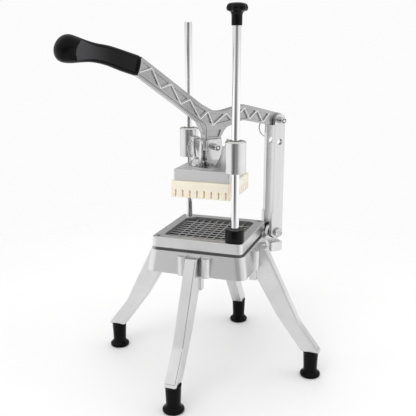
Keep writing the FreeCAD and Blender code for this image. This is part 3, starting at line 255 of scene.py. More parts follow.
def cast_alloy(name, colour, rough, seam=False, scrubbed_above=None):
    """Tumbled and polished casting: even satin, faint ripples, fine grit and few pores.
    It may be painted darker above a height, as painted shade on a top face."""
    material, f = new_finish(name)
    where = f.place()
    clouds = f.noise(where, 22.0, 3.0, 0.5, 0.2)
    grit = f.noise(where, 1500.0, 3.0, 0.6)
    pores = f.node("TexVoronoi", {"feature": "F1"}, Vector=where, Scale=300.0)
    pits = pores.clipped(0.015, 0.07)
    ripple = f.noise(where, 75.0, 3.0, 0.5, 0.6)
    shade = (clouds * 0.7 + ripple * 0.3).clipped(0.3, 0.72)
    base = f.blend(shade, tinted(colour, 0.95), tinted(colour, 1.03))
    base = f.blend((1 - pits) * 0.3, base, tinted(colour, 0.55))
    if scrubbed_above:
        # Painted shade: above the height the colour is darkened, for a top face that looks
        # darker under this light.
        top = f.along(where, "Z").clipped(scrubbed_above - 0.0005, scrubbed_above)
        base = f.blend(top, base, tinted(colour, 0.84))
    height = clouds * 0.3 + ripple * 0.2 + pits * 0.05
    if seam:
        height = height + f.seam(where) * 0.4
    f.surface(Base_Color=base, Metallic=1.0,
              Roughness=shade.clipped(0.0, 1.0, rough + 0.04, rough - 0.03) + grit * 0.06,
              Normal=f.rounded(height, 0.14, 0.0012, 0.0007))
    return material


def drawn_metal(name, colour, rough, axis, streak, depth, edge=0.0004):
    """Drawn, ground or brushed metal with its fine lines along one axis."""
    material, f = new_finish(name)
    where = f.place()
    scale = tuple(0.02 if axis == each else 1.0 for each in "XYZ")
    lines = f.noise(f.stretched(where, scale), streak * 8, 2.0, 0.6)
    bands = f.noise(f.stretched(where, scale), streak, 3.0, 0.6)
    prints = f.noise(where, 55.0, 5.0, 0.65, 0.8).clipped(0.45, 0.75)
    shade = (lines * 0.5 + bands * 0.5).clipped(0.3, 0.7)
    base = f.blend(shade, tinted(colour, 0.94), tinted(colour, 1.03))
    f.surface(Base_Color=base, Metallic=1.0,
              Roughness=rough + lines * 0.06 + prints * 0.06,
              Normal=f.rounded(lines * 0.6 + bands * 0.4, depth, 0.0004, edge))
    return material


def ground_blade(name, dull, bright, edge_low):
    """Blade steel: rolled sides in painted shade, near black, and a ground edge along the top
    in a light colour that is partly real grinding and partly painted highlight.
    """
    material, f = new_finish(name)
    where = f.place()
    rolled = f.noise(f.stretched(where, (1.0, 1.0, 6.0)), 120.0, 3.0, 0.6)
    # Painted highlight and real grinding: above edge_low the top is light; the sides below are
    # painted shade.
    ground = f.along(where, "Z").clipped(edge_low, edge_low + 0.0002)
    sides = f.blend(rolled.clipped(0.3, 0.7), tinted(dull, 0.85), tinted(dull, 1.15))
    f.surface(Base_Color=f.blend(ground, sides, bright), Metallic=1.0,
              Roughness=0.3 + rolled * 0.1 + ground * 0.2,
              Normal=f.rounded(rolled, 0.08, 0.0004))
    return material


def bright_plate(name, colour, rough):
    """Nickel plate: near mirror, with handling marks and a little orange peel."""
    material, f = new_finish(name)
    where = f.place()
    peel = f.noise(where, 260.0, 2.0, 0.5)
    marks = f.noise(where, 90.0, 6.0, 0.7, 0.6).clipped(0.5, 0.8)
    base = f.blend(marks, colour, tinted(colour, 0.84))
    f.surface(Base_Color=base, Metallic=1.0, Roughness=rough + marks * 0.12 + peel * 0.03,
              Normal=f.rounded(peel, 0.04, 0.0006))
    return material


def moulded(name, colour, rough, gloss_marks, dust, shine, grain=700.0, depth=0.12,
            seam=False, rubbed_end=None):
    """Moulded plastic or rubber: fine leathery grain, rubbed marks and dust. It may be
    made paler from one X to another."""
    material, f = new_finish(name)
    where = f.place()
    skin = f.noise(where, grain, 3.0, 0.55)
    wide = f.noise(where, 45.0, 4.0, 0.6, 0.5)
    rubbed = f.noise(where, 130.0, 6.0, 0.7, 1.4).clipped(0.52, 0.8)
    specks = f.noise(where, 1500.0, 2.0, 0.5).clipped(0.62, 0.8)
    base = f.blend(wide.clipped(0.3, 0.7), tinted(colour, 0.9), tinted(colour, 1.08))
    pale = tuple(c + (0.62 - c) * 0.22 for c in colour[:3]) + (1.0,)
    base = f.blend(specks * dust, base, pale)
    if rubbed_end:
        # Paler from one X to another.
        worn = f.along(where, "X").clipped(*rubbed_end)
        base = f.blend(worn, base, tinted(colour, 10.0))
    height = skin * 0.5 + wide * 0.3
    if seam:
        height = height + f.seam(where)
    f.surface(Base_Color=base, Roughness=rough + skin * 0.06 - rubbed * gloss_marks,
              Specular_IOR_Level=shine, Normal=f.rounded(height, depth, 0.0006, 0.0005))
    return material


def ivory_plastic(name, colour, pitch, half_gap, gap_top):
    """Food-grade ivory plastic, milky, with a painted glow: a warm emission in the gaps
    between its pegs, standing in for light that comes through their thin walls."""
    material, f = new_finish(name)
    where = f.place()
    wide = f.noise(where, 60.0, 4.0, 0.6, 0.5)
    mill = f.noise(f.stretched(where, (1.0, 1.0, 0.1)), 1400.0, 2.0, 0.5)
    stain = f.noise(where, 140.0, 5.0, 0.65, 1.0).clipped(0.5, 0.8)
    base = f.blend(wide.clipped(0.3, 0.7), tinted(colour, 0.97), tinted(colour, 1.03))
    stained = (colour[0] * 0.95, colour[1] * 0.9, colour[2] * 0.8, 1.0)
    base = f.blend(stain * 0.2, base, stained)
    x, y, z = (f.along(where, axis) for axis in "XYZ")
    wall = pitch / 2 - half_gap
    gaps = []
    for slanted in ((x - TOWER + y) * ROOT_HALF, (x - TOWER - y) * ROOT_HALF):
        off = f.node("Math", {"operation": "PINGPONG"}, slanted, pitch / 2)
        gaps.append(off.clipped(wall - 0.00006, wall - 0.00002))
    first, second = gaps
    # Painted glow: warm emission inside the peg gaps, standing in for light through the thin
    # walls.
    inside = (second + first * (1 - second)) * z.clipped(gap_top + 0.0001, gap_top)
    glow = f.blend(inside, (0.0, 0.0, 0.0, 1.0), (0.07, 0.05, 0.025, 1.0))
    f.surface(Base_Color=base, Roughness=0.38 + mill * 0.12, Subsurface_Weight=0.3,
              Subsurface_Scale=0.004, Subsurface_Radius=(1.0, 0.75, 0.45),
              Emission_Color=glow, Emission_Strength=1.0,
              Normal=f.rounded(mill * 0.6 + wide * 0.4, 0.08, 0.0004, 0.0005))
    return material


def follow(table, share):
    """A smooth curve through pairs of (share, value)."""
    last = len(table) - 2
    index = next((k for k in range(last + 1) if share <= table[k + 1][0]), last)
    (x0, y0), (x1, y1) = table[index], table[index + 1]

    def slope(k):
        (xa, ya), (xb, yb) = table[max(0, k - 1)], table[min(last + 1, k + 1)]
        return (yb - ya) / (xb - xa)

    wide = x1 - x0
    t = (share - x0) / wide
    return ((1 + 2 * t) * (1 - t) ** 2 * y0 + t * (1 - t) ** 2 * wide * slope(index)
            + t * t * (3 - 2 * t) * y1 + t * t * (t - 1) * wide * slope(index + 1))


def soft(points, closed=False, steps=4):
    """Round the corners of a run of points. Each is (a, b, reach), reach being how
    far the rounding runs back along both sides."""
    run = []
    count = len(points)
    for index, (a, b, *more) in enumerate(points):
        reach = more[0] if more else 0.0
        here = Vector((a, b))
        if not reach or (not closed and index in (0, count - 1)):
            run.append((a, b))
            continue
        before = Vector(points[index - 1][:2]) - here
        after = Vector(points[(index + 1) % count][:2]) - here
        start = here + before.normalized() * min(reach, before.length * 0.49)
        end = here + after.normalized() * min(reach, after.length * 0.49)
        for step in range(steps + 1):
            t = step / steps
            rounded = start * (1 - t) ** 2 + here * (2 * t * (1 - t)) + end * t * t
            run.append((rounded.x, rounded.y))
    return run


def eased(value, low, high):
    """Rise smoothly from 0 at low to 1 at high, or fall where high is the smaller."""
    t = min(1.0, max(0.0, (value - low) / (high - low)))
    return t * t * (3 - 2 * t)


def moved(form, verts, place, along):
    """Lay verts drawn round Z along another axis and carry them to a place."""
    swing = {"Z": Matrix.Identity(4), "X": Matrix.Rotation(math.pi / 2, 4, "Y"),
             "Y": Matrix.Rotation(-math.pi / 2, 4, "X")}[along]
    bmesh.ops.transform(form, matrix=Matrix.Translation(place) @ swing, verts=verts)


def turned(form, profile, steps, place, along="Z"):
    """Spin a run of (radius, height) points round an axis."""
    old = set(form.verts)
    line = [bmesh.ops.create_vert(form, co=(r, 0, z))["vert"][0] for r, z in profile]
    edges = [form.edges.new(pair) for pair in zip(line, line[1:])]
    bmesh.ops.spin(form, geom=line + edges, cent=(0, 0, 0), axis=(0, 0, 1),
                   angle=math.tau, steps=steps, use_merge=True)
    fresh = [v for v in form.verts if v not in old]
    bmesh.ops.remove_doubles(form, verts=fresh, dist=1e-4)
    moved(form, [v for v in form.verts if v not in old], place, along)


def slab(form, corners, thick, bevel=0.0, place=(0, 0, 0), along="Z"):
    """Push a flat outline through a thickness, centred, and round its rims."""
    old = set(form.verts)
    verts = [bmesh.ops.create_vert(form, co=(a, b, -thick / 2))["vert"][0] for a, b in corners]
    face = form.faces.new(verts)
    pushed = bmesh.ops.extrude_face_region(form, geom=[face], use_keep_orig=True)["geom"]
    top = [item for item in pushed if isinstance(item, bmesh.types.BMVert)]
    bmesh.ops.translate(form, vec=(0, 0, thick), verts=top)
    if bevel:
        rims = [e for v in verts + top for e in v.link_edges
                if abs(e.verts[0].co.z - e.verts[1].co.z) < thick / 2]
        bmesh.ops.bevel(form, geom=list(set(rims)), offset=bevel, segments=3,
                        profile=0.5, affect="EDGES", material=-1, clamp_overlap=True)
    moved(form, [v for v in form.verts if v not in old], place, along)


def wrapped(form, columns, rows, at, ends=True):
    """A tube from a grid: at(round, along) places each point, both running 0 to 1."""
    old = set(form.verts)
    bmesh.ops.create_grid(form, x_segments=columns, y_segments=rows, size=0.5)
    fresh = [v for v in form.verts if v not in old]
    for vert in fresh:
        vert.co = at(vert.co.x + 0.5, vert.co.y + 0.5)
    bmesh.ops.remove_doubles(form, verts=fresh, dist=1e-5)
    if ends:
        rims = [e for e in form.edges if e.is_boundary and e.verts[0] not in old]
        bmesh.ops.holes_fill(form, edges=rims, sides=0)


def bead(form, run, out, wide, high):
    """Low rounded beads that follow a run of points over a face that looks along out."""
    for start, end in zip(map(Vector, run), map(Vector, run[1:])):
        across = (end - start).cross(out).normalized() * (wide / 2)
        wrapped(form, 12, 1, lambda around, along: (
            start.lerp(end, along) + across * math.cos(around * math.tau)
            + out * (high * math.sin(around * math.tau))))


def stations(corners, bays):
    """Points along a rail through its corners, with so many bays between each two."""
    points = []
    for start, end, count in zip(corners, corners[1:], bays):
        points += [Vector(start).lerp(Vector(end), step / count) for step in range(count)]
    return points + [Vector(corners[-1])]


def finished(name, form, body, finish, replaces=(), sharp=38.0):
    """Make a piece of a form drawn in millimetres round the tower, on a body."""
    for vert in form.verts:
        vert.co = spot(*vert.co)
    bmesh.ops.recalc_face_normals(form, faces=form.faces)
    mesh = bpy.data.meshes.new(name)
    form.to_mesh(mesh)
    form.free()
    mesh.shade_smooth()
    mesh.set_sharp_from_angle(angle=math.radians(sharp))
    mesh.materials.append(FINISHES[finish])
    piece = bpy.data.objects.new(name, mesh)
    bpy.context.scene.collection.objects.link(piece)
    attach(piece, body)
    if replaces:
        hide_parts(*replaces)
    return piece


def middle(node):
    """The centre of a node's box, in millimetres round the tower, with its low and high z."""
    low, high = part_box(node)
    centre = (low + high) / 2
    return (centre.x - TOWER) / MM, centre.y / MM, low.z / MM, high.z / MM


def level_pin(node):
    """Where a pin along Y lies: its x and z, and the y of its two ends, in millimetres
    round the tower."""
    low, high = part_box(node)
    x, z = ((low.x + high.x) / 2 - TOWER) / MM, (low.z + high.z) / 2 / MM
    return x, z, low.y / MM, high.y / MM


def dress(node, finish):
    """Give a carried-over node its finish."""
    thing = NODES[node]
    thing.data.materials.clear()
    thing.data.materials.append(FINISHES[finish])


class CutterLooks(PropertyGroup):
    """Colours of the finishes."""

    alloy: FloatVectorProperty(name="Casting", description="Colour of the cast pieces",
                               subtype="COLOR", size=4, min=0, max=1,
                               default=(0.7, 0.698, 0.7, 1.0))
    plate: FloatVectorProperty(name="Plating", description="Colour of the bright pieces",
                               subtype="COLOR", size=4, min=0, max=1,
                               default=(0.77, 0.77, 0.78, 1.0))
    ivory: FloatVectorProperty(name="Pusher", description="Colour of the pusher block",
                               subtype="COLOR", size=4, min=0, max=1,
                               default=(0.88, 0.82, 0.69, 1.0))
    black: FloatVectorProperty(name="Black plastic", description="Colour of the black pieces",
                               subtype="COLOR", size=4, min=0, max=1,
                               default=(0.006, 0.006, 0.0065, 1.0))
    floor: FloatVectorProperty(name="Floor", description="Colour of the floor",
                               subtype="COLOR", size=4, min=0, max=1,
                               default=(0.84, 0.84, 0.838, 1.0))


class CutterSizes(PropertyGroup):
    """Sizes of the camera and of the small pieces that this file adds."""

    lens: FloatProperty(name="Lens",
                        description="Focal length of the camera",
                        unit="CAMERA", default=57.2)
    grip_panel: FloatProperty(name="Grip panel",
                              description="Depth of the grip's side panels",
                              unit="LENGTH", default=0.0008, min=0)
    grip_flat: FloatProperty(name="Grip width",
                             description="Grip's width as a share of its height",
                             default=0.86, min=0.5, max=1)
    knob_dip: FloatProperty(name="Knob hollows",
                            description="Depth of the knob's hollows",
                            unit="LENGTH", default=0.0012, min=0)
    foot_taper: FloatProperty(name="Foot taper",
                              description="How far each foot narrows downwards",
                              unit="LENGTH", default=0.001, min=0)
    wing_thick: FloatProperty(name="Wing thickness",
                              description="Thickness of the nuts' wings",
                              unit="LENGTH", default=0.003, min=0.001)
    ring_wire: FloatProperty(name="Ring wire",
                             description="Thickness of the split rings' wire",
                             unit="LENGTH", default=0.0008, min=0.0002)
    blade_ground: FloatProperty(name="Blade edge",
                                description="Height of each blade's ground edge",
                                unit="LENGTH", default=0.0012, min=0)


class FRYCUTTER_OT_finishes(Operator):
    """Make the materials and put them on the frame's own pieces"""

    bl_idname = "frycutter.finishes"
    bl_label = "Finishes"

    def execute(self, context):
        looks = context.scene.cutter_looks
        alloy, plate = tuple(looks.alloy), tuple(looks.plate)
        ivory, black = tuple(looks.ivory), tuple(looks.black)
        FINISHES.update(
            casting=cast_alloy("casting", alloy, 0.27),
            plate_casting=cast_alloy("plate_casting", alloy, 0.27,
                                     scrubbed_above=PLATE_SCRUBBED_ABOVE),
            head_casting=cast_alloy("head_casting", tinted(alloy, 0.87), 0.19, seam=True),
            holder_casting=cast_alloy("holder_casting", alloy, 0.42),
            # Painted shade: the whole lever is a darker copy of the casting, for the shade in
            # its recessed truss.
            lever_casting=cast_alloy("lever_casting", tinted(alloy, 0.6), 0.26, seam=True),
            # Painted highlight: the ribs are a lighter copy of the casting, for the light that
            # they catch.
            rib_bright=cast_alloy("rib_bright", tinted(alloy, 1.35), 0.3),
            # Painted shade: a dark copy of the casting for the thin lines on the lever's rim
            # and the legs, standing for shade in grooves; the pins' ring and detents wear it
            # too.
            line_dark=cast_alloy("line_dark", tinted(alloy, 0.16), 0.45),
            rod=drawn_metal("rod", plate, 0.06, "Z", streak=60.0, depth=0.01, edge=0.0),
            link_bar=drawn_metal("link_bar", tinted(alloy, 0.93), 0.27, "Z",
                                 streak=160.0, depth=0.08),
            # Painted shade: the blade frame is near black, for the dark gap between the plate
            # and the base.
            frame_steel=drawn_metal("frame_steel", tinted(alloy, 0.2), 0.3, "X",
                                    streak=160.0, depth=0.06),
            # Blade colours: near-black sides as painted shade for the cells, and a light edge,
            # partly real grinding and partly painted highlight.
            blade=ground_blade("blade", (0.07, 0.07, 0.072, 1.0),
                               (0.66, 0.66, 0.66, 1.0), BLADE_EDGE_LOW),
            plating=bright_plate("plating", tinted(plate, 0.8), 0.07),
            zinc=bright_plate("zinc", (0.5, 0.505, 0.51, 1.0), 0.3),
            bush=drawn_metal("bush", (0.3, 0.27, 0.22, 1.0), 0.3, "Z",
                             streak=160.0, depth=0.06),
            ivory=ivory_plastic("ivory", ivory, PEG_PITCH, PEG_HALF_GAP, PEG_GAP_TOP),
            gloss_black=moulded("gloss_black", tinted(black, 0.25), 0.1, gloss_marks=0.03,
                                dust=0.02, shine=0.16, grain=500.0, depth=0.03),
            grip_black=moulded("grip_black", tinted(black, 0.3), 0.28, gloss_marks=0.06,
                               dust=0.03, shine=0.1, grain=900.0, depth=0.05, seam=True),
            grip_panel=moulded("grip_panel", tinted(black, 0.9), 0.42, gloss_marks=0.08,
                               dust=0.08, shine=0.2, grain=1400.0, depth=0.2,
                               rubbed_end=GRIP_WORN),
            foot_black=moulded("foot_black", tinted(black, 0.2), 0.22, gloss_marks=0.08,
                               dust=0.03, shine=0.1, grain=800.0, depth=0.05),
            washer_black=moulded("washer_black", tinted(black, 0.6), 0.45,
                                 gloss_marks=0.08, dust=0.1, shine=0.1),
        )
        wearing = {
            "casting": ["base_casting"], "plate_casting": ["top_plate"],
            "head_casting": ["pusher_head"], "holder_casting": ["pusher_holder"],
            "lever_casting": ["lever_arm"], "frame_steel": ["blade_frame"],
            "link_bar": ["link_near", "link_far"], "ivory": ["pusher_block"],
            "rod": ["guide_rod_near", "guide_rod_far"],
            "bush": ["sleeve_bush_near", "sleeve_bush_far"],
            "gloss_black": ["rod_collar", "rod_knob"], "grip_black": ["lever_grip"],
            "washer_black": ["link_washers"],
            "zinc": ["rod_nuts", "leg_bolts", "plate_screws", "link_pin_lower"],
        }
        chosen = {node: finish for finish, nodes in wearing.items() for node in nodes}
        families = {"blade_": "blade", "leg_": "casting", "foot_": "foot_black",
                    "pusher_stud_": "zinc"}
        for node in NODES:
            family = next((finish for start, finish in families.items()
                           if node.startswith(start)), "plating")
            dress(node, chosen.get(node, family))
        return {"FINISHED"}


class FRYCUTTER_OT_grip(Operator):
    """Make the lever's moulded grip, with a flat recessed panel on each side"""

    bl_idname = "frycutter.grip"
    bl_label = "Grip"

    def execute(self, context):
        sizes = context.scene.cutter_sizes
        depth, flat = sizes.grip_panel / MM, sizes.grip_flat
        cosine, sine = math.cos(GRIP_TILT), math.sin(GRIP_TILT)

        def panelled(share, up):
            """How far the side panel is sunk at a place, from 0 to 1."""
            edge = 0.64 + 0.14 * eased(share, 0.5, 0.74)
            across = eased(abs(up), edge + 0.06, edge - 0.02)
            bowl = 0.07 * up * up
            return across * eased(share, 0.03, 0.05) * eased(share + bowl, 0.815, 0.77)

        def at(around, along):
            share = 1 - (1 - along) ** 1.6
            radius = follow(GRIP_RADII, min(share, GRIP_BALL))
            if share > GRIP_BALL:
                radius *= max(0.0, 1 - ((share - GRIP_BALL) / GRIP_BALL_LONG) ** 2.3) ** 0.5
            radius *= 0.9 + 0.1 * eased(share, 0.0, 0.022) ** 0.5
            lift = follow(GRIP_LIFTS, share) * GRIP_LIFT_HIGH
            power = 2 / (2.5 - 0.5 * eased(share, 0.6, 0.85))
            angle = around * math.tau
            up, out = math.sin(angle), math.cos(angle)
            up = math.copysign(abs(up) ** power, up)
            side = math.copysign(1.0, out)
            out = abs(out) ** power
            narrow = flat + (1 - flat) * eased(share, 0.62, 0.86)
            panel = panelled(share, up)
            out = out * (1 - panel) + min(out, 0.9 - depth / radius if radius else 0) * panel
            x, z = -GRIP_LONG * share, radius * up + lift
            return Vector((GRIP_X + x * cosine + z * sine, side * out * radius * narrow,
                           GRIP_Z - x * sine + z * cosine))

        form = bmesh.new()
        wrapped(form, 160, 170, at)
        for face in form.faces:
            centre = face.calc_center_median() - Vector((GRIP_X, 0, GRIP_Z))
            share = -(centre.x * cosine - centre.z * sine) / GRIP_LONG
            up = centre.x * sine + centre.z * cosine
            up -= follow(GRIP_LIFTS, share) * GRIP_LIFT_HIGH
            if panelled(share, up / follow(GRIP_RADII, min(share, GRIP_BALL))) > 0.8:
                face.material_index = 1
        grip = finished("grip", form, "lever", "grip_black", ["lever_grip"],
                        sharp=50.0)
        grip.data.materials.append(FINISHES["grip_panel"])
        form = bmesh.new()
        x, out, z = GRIP_PIN
        for side in (-1, 1):
            dome = soft([(0, 0.35 * side), (0.9, 0.3 * side, 0.3), (1.3, -0.2 * side)])
            turned(form, dome, 24, (x, side * out, z), "Y")
        finished("grip_pin", form, "lever", "grip_black")
        return {"FINISHED"}


class FRYCUTTER_OT_knob(Operator):
    """Make the knob on the near rod and the stop collar below it"""

    bl_idname = "frycutter.knob"
    bl_label = "Knob and collar"

    def execute(self, context):
        dip = context.scene.cutter_sizes.knob_dip / MM
        x, y, low, _ = middle("rod_knob")
        run = soft(KNOB_OUTLINE, steps=5)

        def at(around, along):
            index = min(int(along * (len(run) - 1)), len(run) - 2)
            share = along * (len(run) - 1) - index
            (r0, z0), (r1, z1) = run[index], run[index + 1]
            radius, z = r0 + (r1 - r0) * share, z0 + (z1 - z0) * share
            hollow = (0.5 + 0.5 * math.cos(KNOB_LOBES * around * math.tau)) ** 2
            shape = eased(z, 14.0, 17.0) * eased(z, 25.2, 22.0) * eased(radius, 7.0, 11.0)
            radius -= dip * hollow * shape
            angle = around * math.tau
            return Vector((x + radius * math.cos(angle), y + radius * math.sin(angle),
                           low + z))

        form = bmesh.new()
        wrapped(form, 140, (len(run) - 1) * 2, at, ends=False)
        finished("knob", form, "base", "gloss_black", ["rod_knob"])
        x, y, low, top = middle("rod_collar")
        high = top - low
        form = bmesh.new()
        collar = soft([(ROD_HOLE, 0), (11.6, 0, 0.1), (12, 0.5, 0.4), (12, high - 0.9, 0.4),
                       (11.2, high, 0.6), (5.9, high, 0.3), (ROD_HOLE, high - 0.8),
                       (ROD_HOLE, 0)])
        turned(form, collar, 96, (x, y, low))
        finished("collar", form, "base", "gloss_black", ["rod_collar"])
        form = bmesh.new()
        angles = [step * math.tau / 24 for step in range(24)]
        ring = [(2.4 * math.cos(angle), 2.4 * math.sin(angle)) for angle in angles]
        slab(form, ring, 0.6, 0.25, (x + 11.95, y, low + high / 2), "X")
        face = max((f for f in form.faces if f.normal.x > 0.9), key=lambda f: f.calc_area())
        bmesh.ops.inset_individual(form, faces=[face], thickness=0.95)
        bmesh.ops.inset_individual(form, faces=[face], thickness=0.05, depth=-0.5)
        finished("collar_screw", form, "base", "zinc")
        return {"FINISHED"}


class FRYCUTTER_OT_feet(Operator):
    """Make the four rubber feet with their rolled flanges"""

    bl_idname = "frycutter.feet"
    bl_label = "Feet"

    def execute(self, context):
        taper = context.scene.cutter_sizes.foot_taper / MM
        for word in ("front", "left", "right", "back"):
            x, y, low, high = middle(f"foot_{word}")
            form = bmesh.new()
            outline = soft([(0, 1.2), (8.0, 1.2, 0.4), (8.6, 0.0, 0.5), (12.0, 0.0, 1.2),
                            (13.5, 1.6, 1.2), (13.4, 4.2, 1.4), (11.6, 5.8, 1.2),
                            (10.3 - taper, 8.2, 2.2), (10.0 - taper, 12.0, 2.0),
                            (9.9, 33.6, 0.6), (10.25, 34.2, 0.4), (10.25, high - 0.5, 0.5),
                            (9.6, high, 0.4), (0, high)])
            turned(form, outline, 72, (x, y, low))
            finished(f"foot_rubber_{word}", form, "base", "foot_black",
                     [f"foot_{word}"])
        return {"FINISHED"}


class FRYCUTTER_OT_wing_nuts(Operator):
    """Make the two wing nuts and the threaded studs that they hold"""

    bl_idname = "frycutter.wing_nuts"
    bl_label = "Wing nuts and studs"

    def execute(self, context):
        thick = context.scene.cutter_sizes.wing_thick / MM
        for word in ("grip_side", "link_side"):
            x, y, low, _ = middle(f"wing_nut_{word}")
            form = bmesh.new()
            turned(form, soft(NUT_OUTLINE), 48, (x, y, low))
            for sign in (-1, 1):
                rim = [(out * sign, up, reach) for out, up, reach in WING_RIM]
                old = set(form.verts)
                slab(form, soft(rim, closed=True, steps=6), thick, thick * 0.42)
                fresh = [v for v in form.verts if v not in old]
                bmesh.ops.transform(form, matrix=Matrix.Translation((x, y, low)) @ STANDING,
                                    verts=fresh)
            finished(f"wing_{word}", form, "pusher", "plating",
                     [f"wing_nut_{word}"], sharp=60.0)
            x, y, low, high = middle(f"pusher_stud_{word}")
            form = bmesh.new()
            long = high - low

            def at(around, along):
                z = along * long
                groove = 1 - abs(2 * ((z / THREAD_PITCH - around) % 1.0) - 1)
                radius = 3.0 - 0.55 * groove - 0.6 * eased(z, long - 0.7, long)
                angle = around * math.tau
                return Vector((x + radius * math.cos(angle), y + radius * math.sin(angle),
                               low + z))

            wrapped(form, 32, int(long * 8), at)
            finished(f"stud_thread_{word}", form, "pusher", "zinc",
                     [f"pusher_stud_{word}"], sharp=80.0)
        return {"FINISHED"}


class FRYCUTTER_OT_rings(Operator):
    """Make the two split rings, each of two turns of flat wire"""

    bl_idname = "frycutter.rings"
    bl_label = "Split rings"

    def execute(self, context):
        wire = context.scene.cutter_sizes.ring_wire / MM
        for name, start in RING_STARTS.items():
            x, y, low, high = middle(name)
            arm = (high - low) / 2 - 1.0
            z = (low + high) / 2

            def at(around, along):
                heading = math.radians(start) + along * math.tau * RING_TURNS
                step = eased(along, 0.47, 0.53) - 0.5
                angle = around * math.tau
                swell = min(1.0, min(along, 1 - along) * 60 + 0.55)
                flat, thick = (math.copysign(abs(c) ** 0.6, c)
                               for c in (math.cos(angle), math.sin(angle)))
                radius = arm + flat * RING_HALF_WIDE * swell
                off = step * wire * 1.04 + thick * wire / 2 * swell
                return Vector((x + radius * math.cos(heading), y + off,
                               z + radius * math.sin(heading)))

            form = bmesh.new()
            wrapped(form, 16, 220, at)
            finished(f"{name}_coil", form, name, "plating", [name], sharp=60.0)
        return {"FINISHED"}


class FRYCUTTER_OT_pins(Operator):
    """Add the release buttons and detent balls on the pins, and the lower pin's clip"""

    bl_idname = "frycutter.pins"
    bl_label = "Pin details"

    def execute(self, context):
        for name, body in (("clevis_pin", "pusher"), ("link_pin_upper", "links")):
            x, z, nose, tail = level_pin(name)
            form = bmesh.new()
            turned(form, soft(BUTTON_OUTLINE), 32, (x, nose, z), "Y")
            turned(form, soft(TAIL_OUTLINE), 32, (x, tail, z), "Y")
            finished(f"{name}_button", form, body, "plating")
            # The dark ring round each button is painted shade in its gap; the detent balls
            # wear the same dark finish.
            form = bmesh.new()
            turned(form, soft([(2.1, -0.06), (3.0, -0.06)]), 32, (x, nose, z), "Y")
            for side in (-1, 1):
                made = bmesh.ops.create_uvsphere(form, u_segments=16, v_segments=10,
                                                 radius=1.3)
                bmesh.ops.translate(form, vec=(x + side * 3.3, nose + 3.4, z),
                                    verts=made["verts"])
            finished(f"{name}_detents", form, body, "line_dark")
        x, z, head, _ = level_pin("link_pin_lower")
        form = bmesh.new()
        turned(form, soft(PIN_RIM_OUTLINE), 48, (x, head, z), "Y")
        finished("lower_pin_rim", form, "base", "plating")
        return {"FINISHED"}


class FRYCUTTER_OT_blades(Operator):
    """Make the sixteen blades, each ground to a narrow edge along its top"""

    bl_idname = "frycutter.blades"
    bl_label = "Blades"

    def execute(self, context):
        ground = context.scene.cutter_sizes.blade_ground / MM
        for kind in ("long", "cross"):
            for index in range(1, 9):
                node = f"blade_{kind}_{index}"
                low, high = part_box(node)
                centre = (low + high) / 2
                long = math.hypot(high.x - low.x, high.y - low.y) / MM - 1.0
                tall = (high.z - low.z) / MM
                form = bmesh.new()
                section = [(-0.42, 0), (0.42, 0), (0.5, 0.2), (0.5, tall - ground),
                           (0.22, tall), (-0.22, tall), (-0.5, tall - ground), (-0.5, 0.2)]
                slab(form, section, long)
                turn = -45.0 if kind == "long" else 45.0
                lay = (Matrix.Translation(((centre.x - TOWER) / MM, centre.y / MM, low.z / MM))
                       @ Matrix.Rotation(math.radians(turn), 4, "Z") @ STANDING)
                bmesh.ops.transform(form, matrix=lay, verts=form.verts)
                finished(f"blade_edge_{kind}_{index}", form, "base", "blade",
                         [node], sharp=20.0)
        return {"FINISHED"}


class FRYCUTTER_OT_beads(Operator):
    """Add the ribs of the lever's truss, in a light finish of painted highlight, and dark
    lines of painted shade along its rim and the legs
    """

    bl_idname = "frycutter.beads"
    bl_label = "Ribs and rim lines"

    def execute(self, context):
        upper, lower = stations(RAIL_HIGH, RAIL_BAYS), stations(RAIL_LOW, RAIL_BAYS)
        zigzag = [(lower, upper)[index % 2][index] for index in range(len(upper))]
        rim = soft(LOWER_RIM)
        ribs, lines = bmesh.new(), bmesh.new()
        for side in (-1, 1):
            out = Vector((0, side, 0))
            bead(ribs, [(p.x, side * RIB_FACE, p.y) for p in zigzag], out, 1.15, 0.6)
            bead(lines, [(x, side * RIM_FACE, z) for x, z in rim], out, 0.55, 0.12)
        # The ribs take a painted highlight, the rim lines painted shade.
        finished("truss_ribs", ribs, "lever", "rib_bright", sharp=80.0)
        finished("rim_lines", lines, "lever", "line_dark", sharp=80.0)
        for word, heading in LEG_HEADINGS.items():
            self.leg_lines(word, math.radians(heading))
        return {"FINISHED"}

    def leg_lines(self, word, heading):
        """Dark lines of painted shade down one corner of a leg's outer edge and across its
        foot end.
        """
        form = bmesh.new()
        away = Vector((math.cos(heading), math.sin(heading), 0))
        over = away.cross(Vector((0, 0, 1)))
        side = LEG_LINE_OFF if word in ("left", "right") else -LEG_LINE_OFF

        def on_leg(radius, across, height):
            return away * radius + over * across + Vector((0, 0, height))

        for (r0, z0), (r1, z1) in zip(LEG_EDGE, LEG_EDGE[1:]):
            out = (away * (z0 - z1) + Vector((0, 0, r1 - r0))).normalized()
            bead(form, [on_leg(r0, side, z0), on_leg(r1, side, z1)], out, 0.5, 0.1)
        radius, height = LEG_EDGE[-1]
        ends = [on_leg(radius, across, height) for across in (-LEG_LINE_OFF, LEG_LINE_OFF)]
        bead(form, ends, out, 0.4, 0.1)
        finished(f"leg_lines_{word}", form, "base", "line_dark", sharp=80.0)


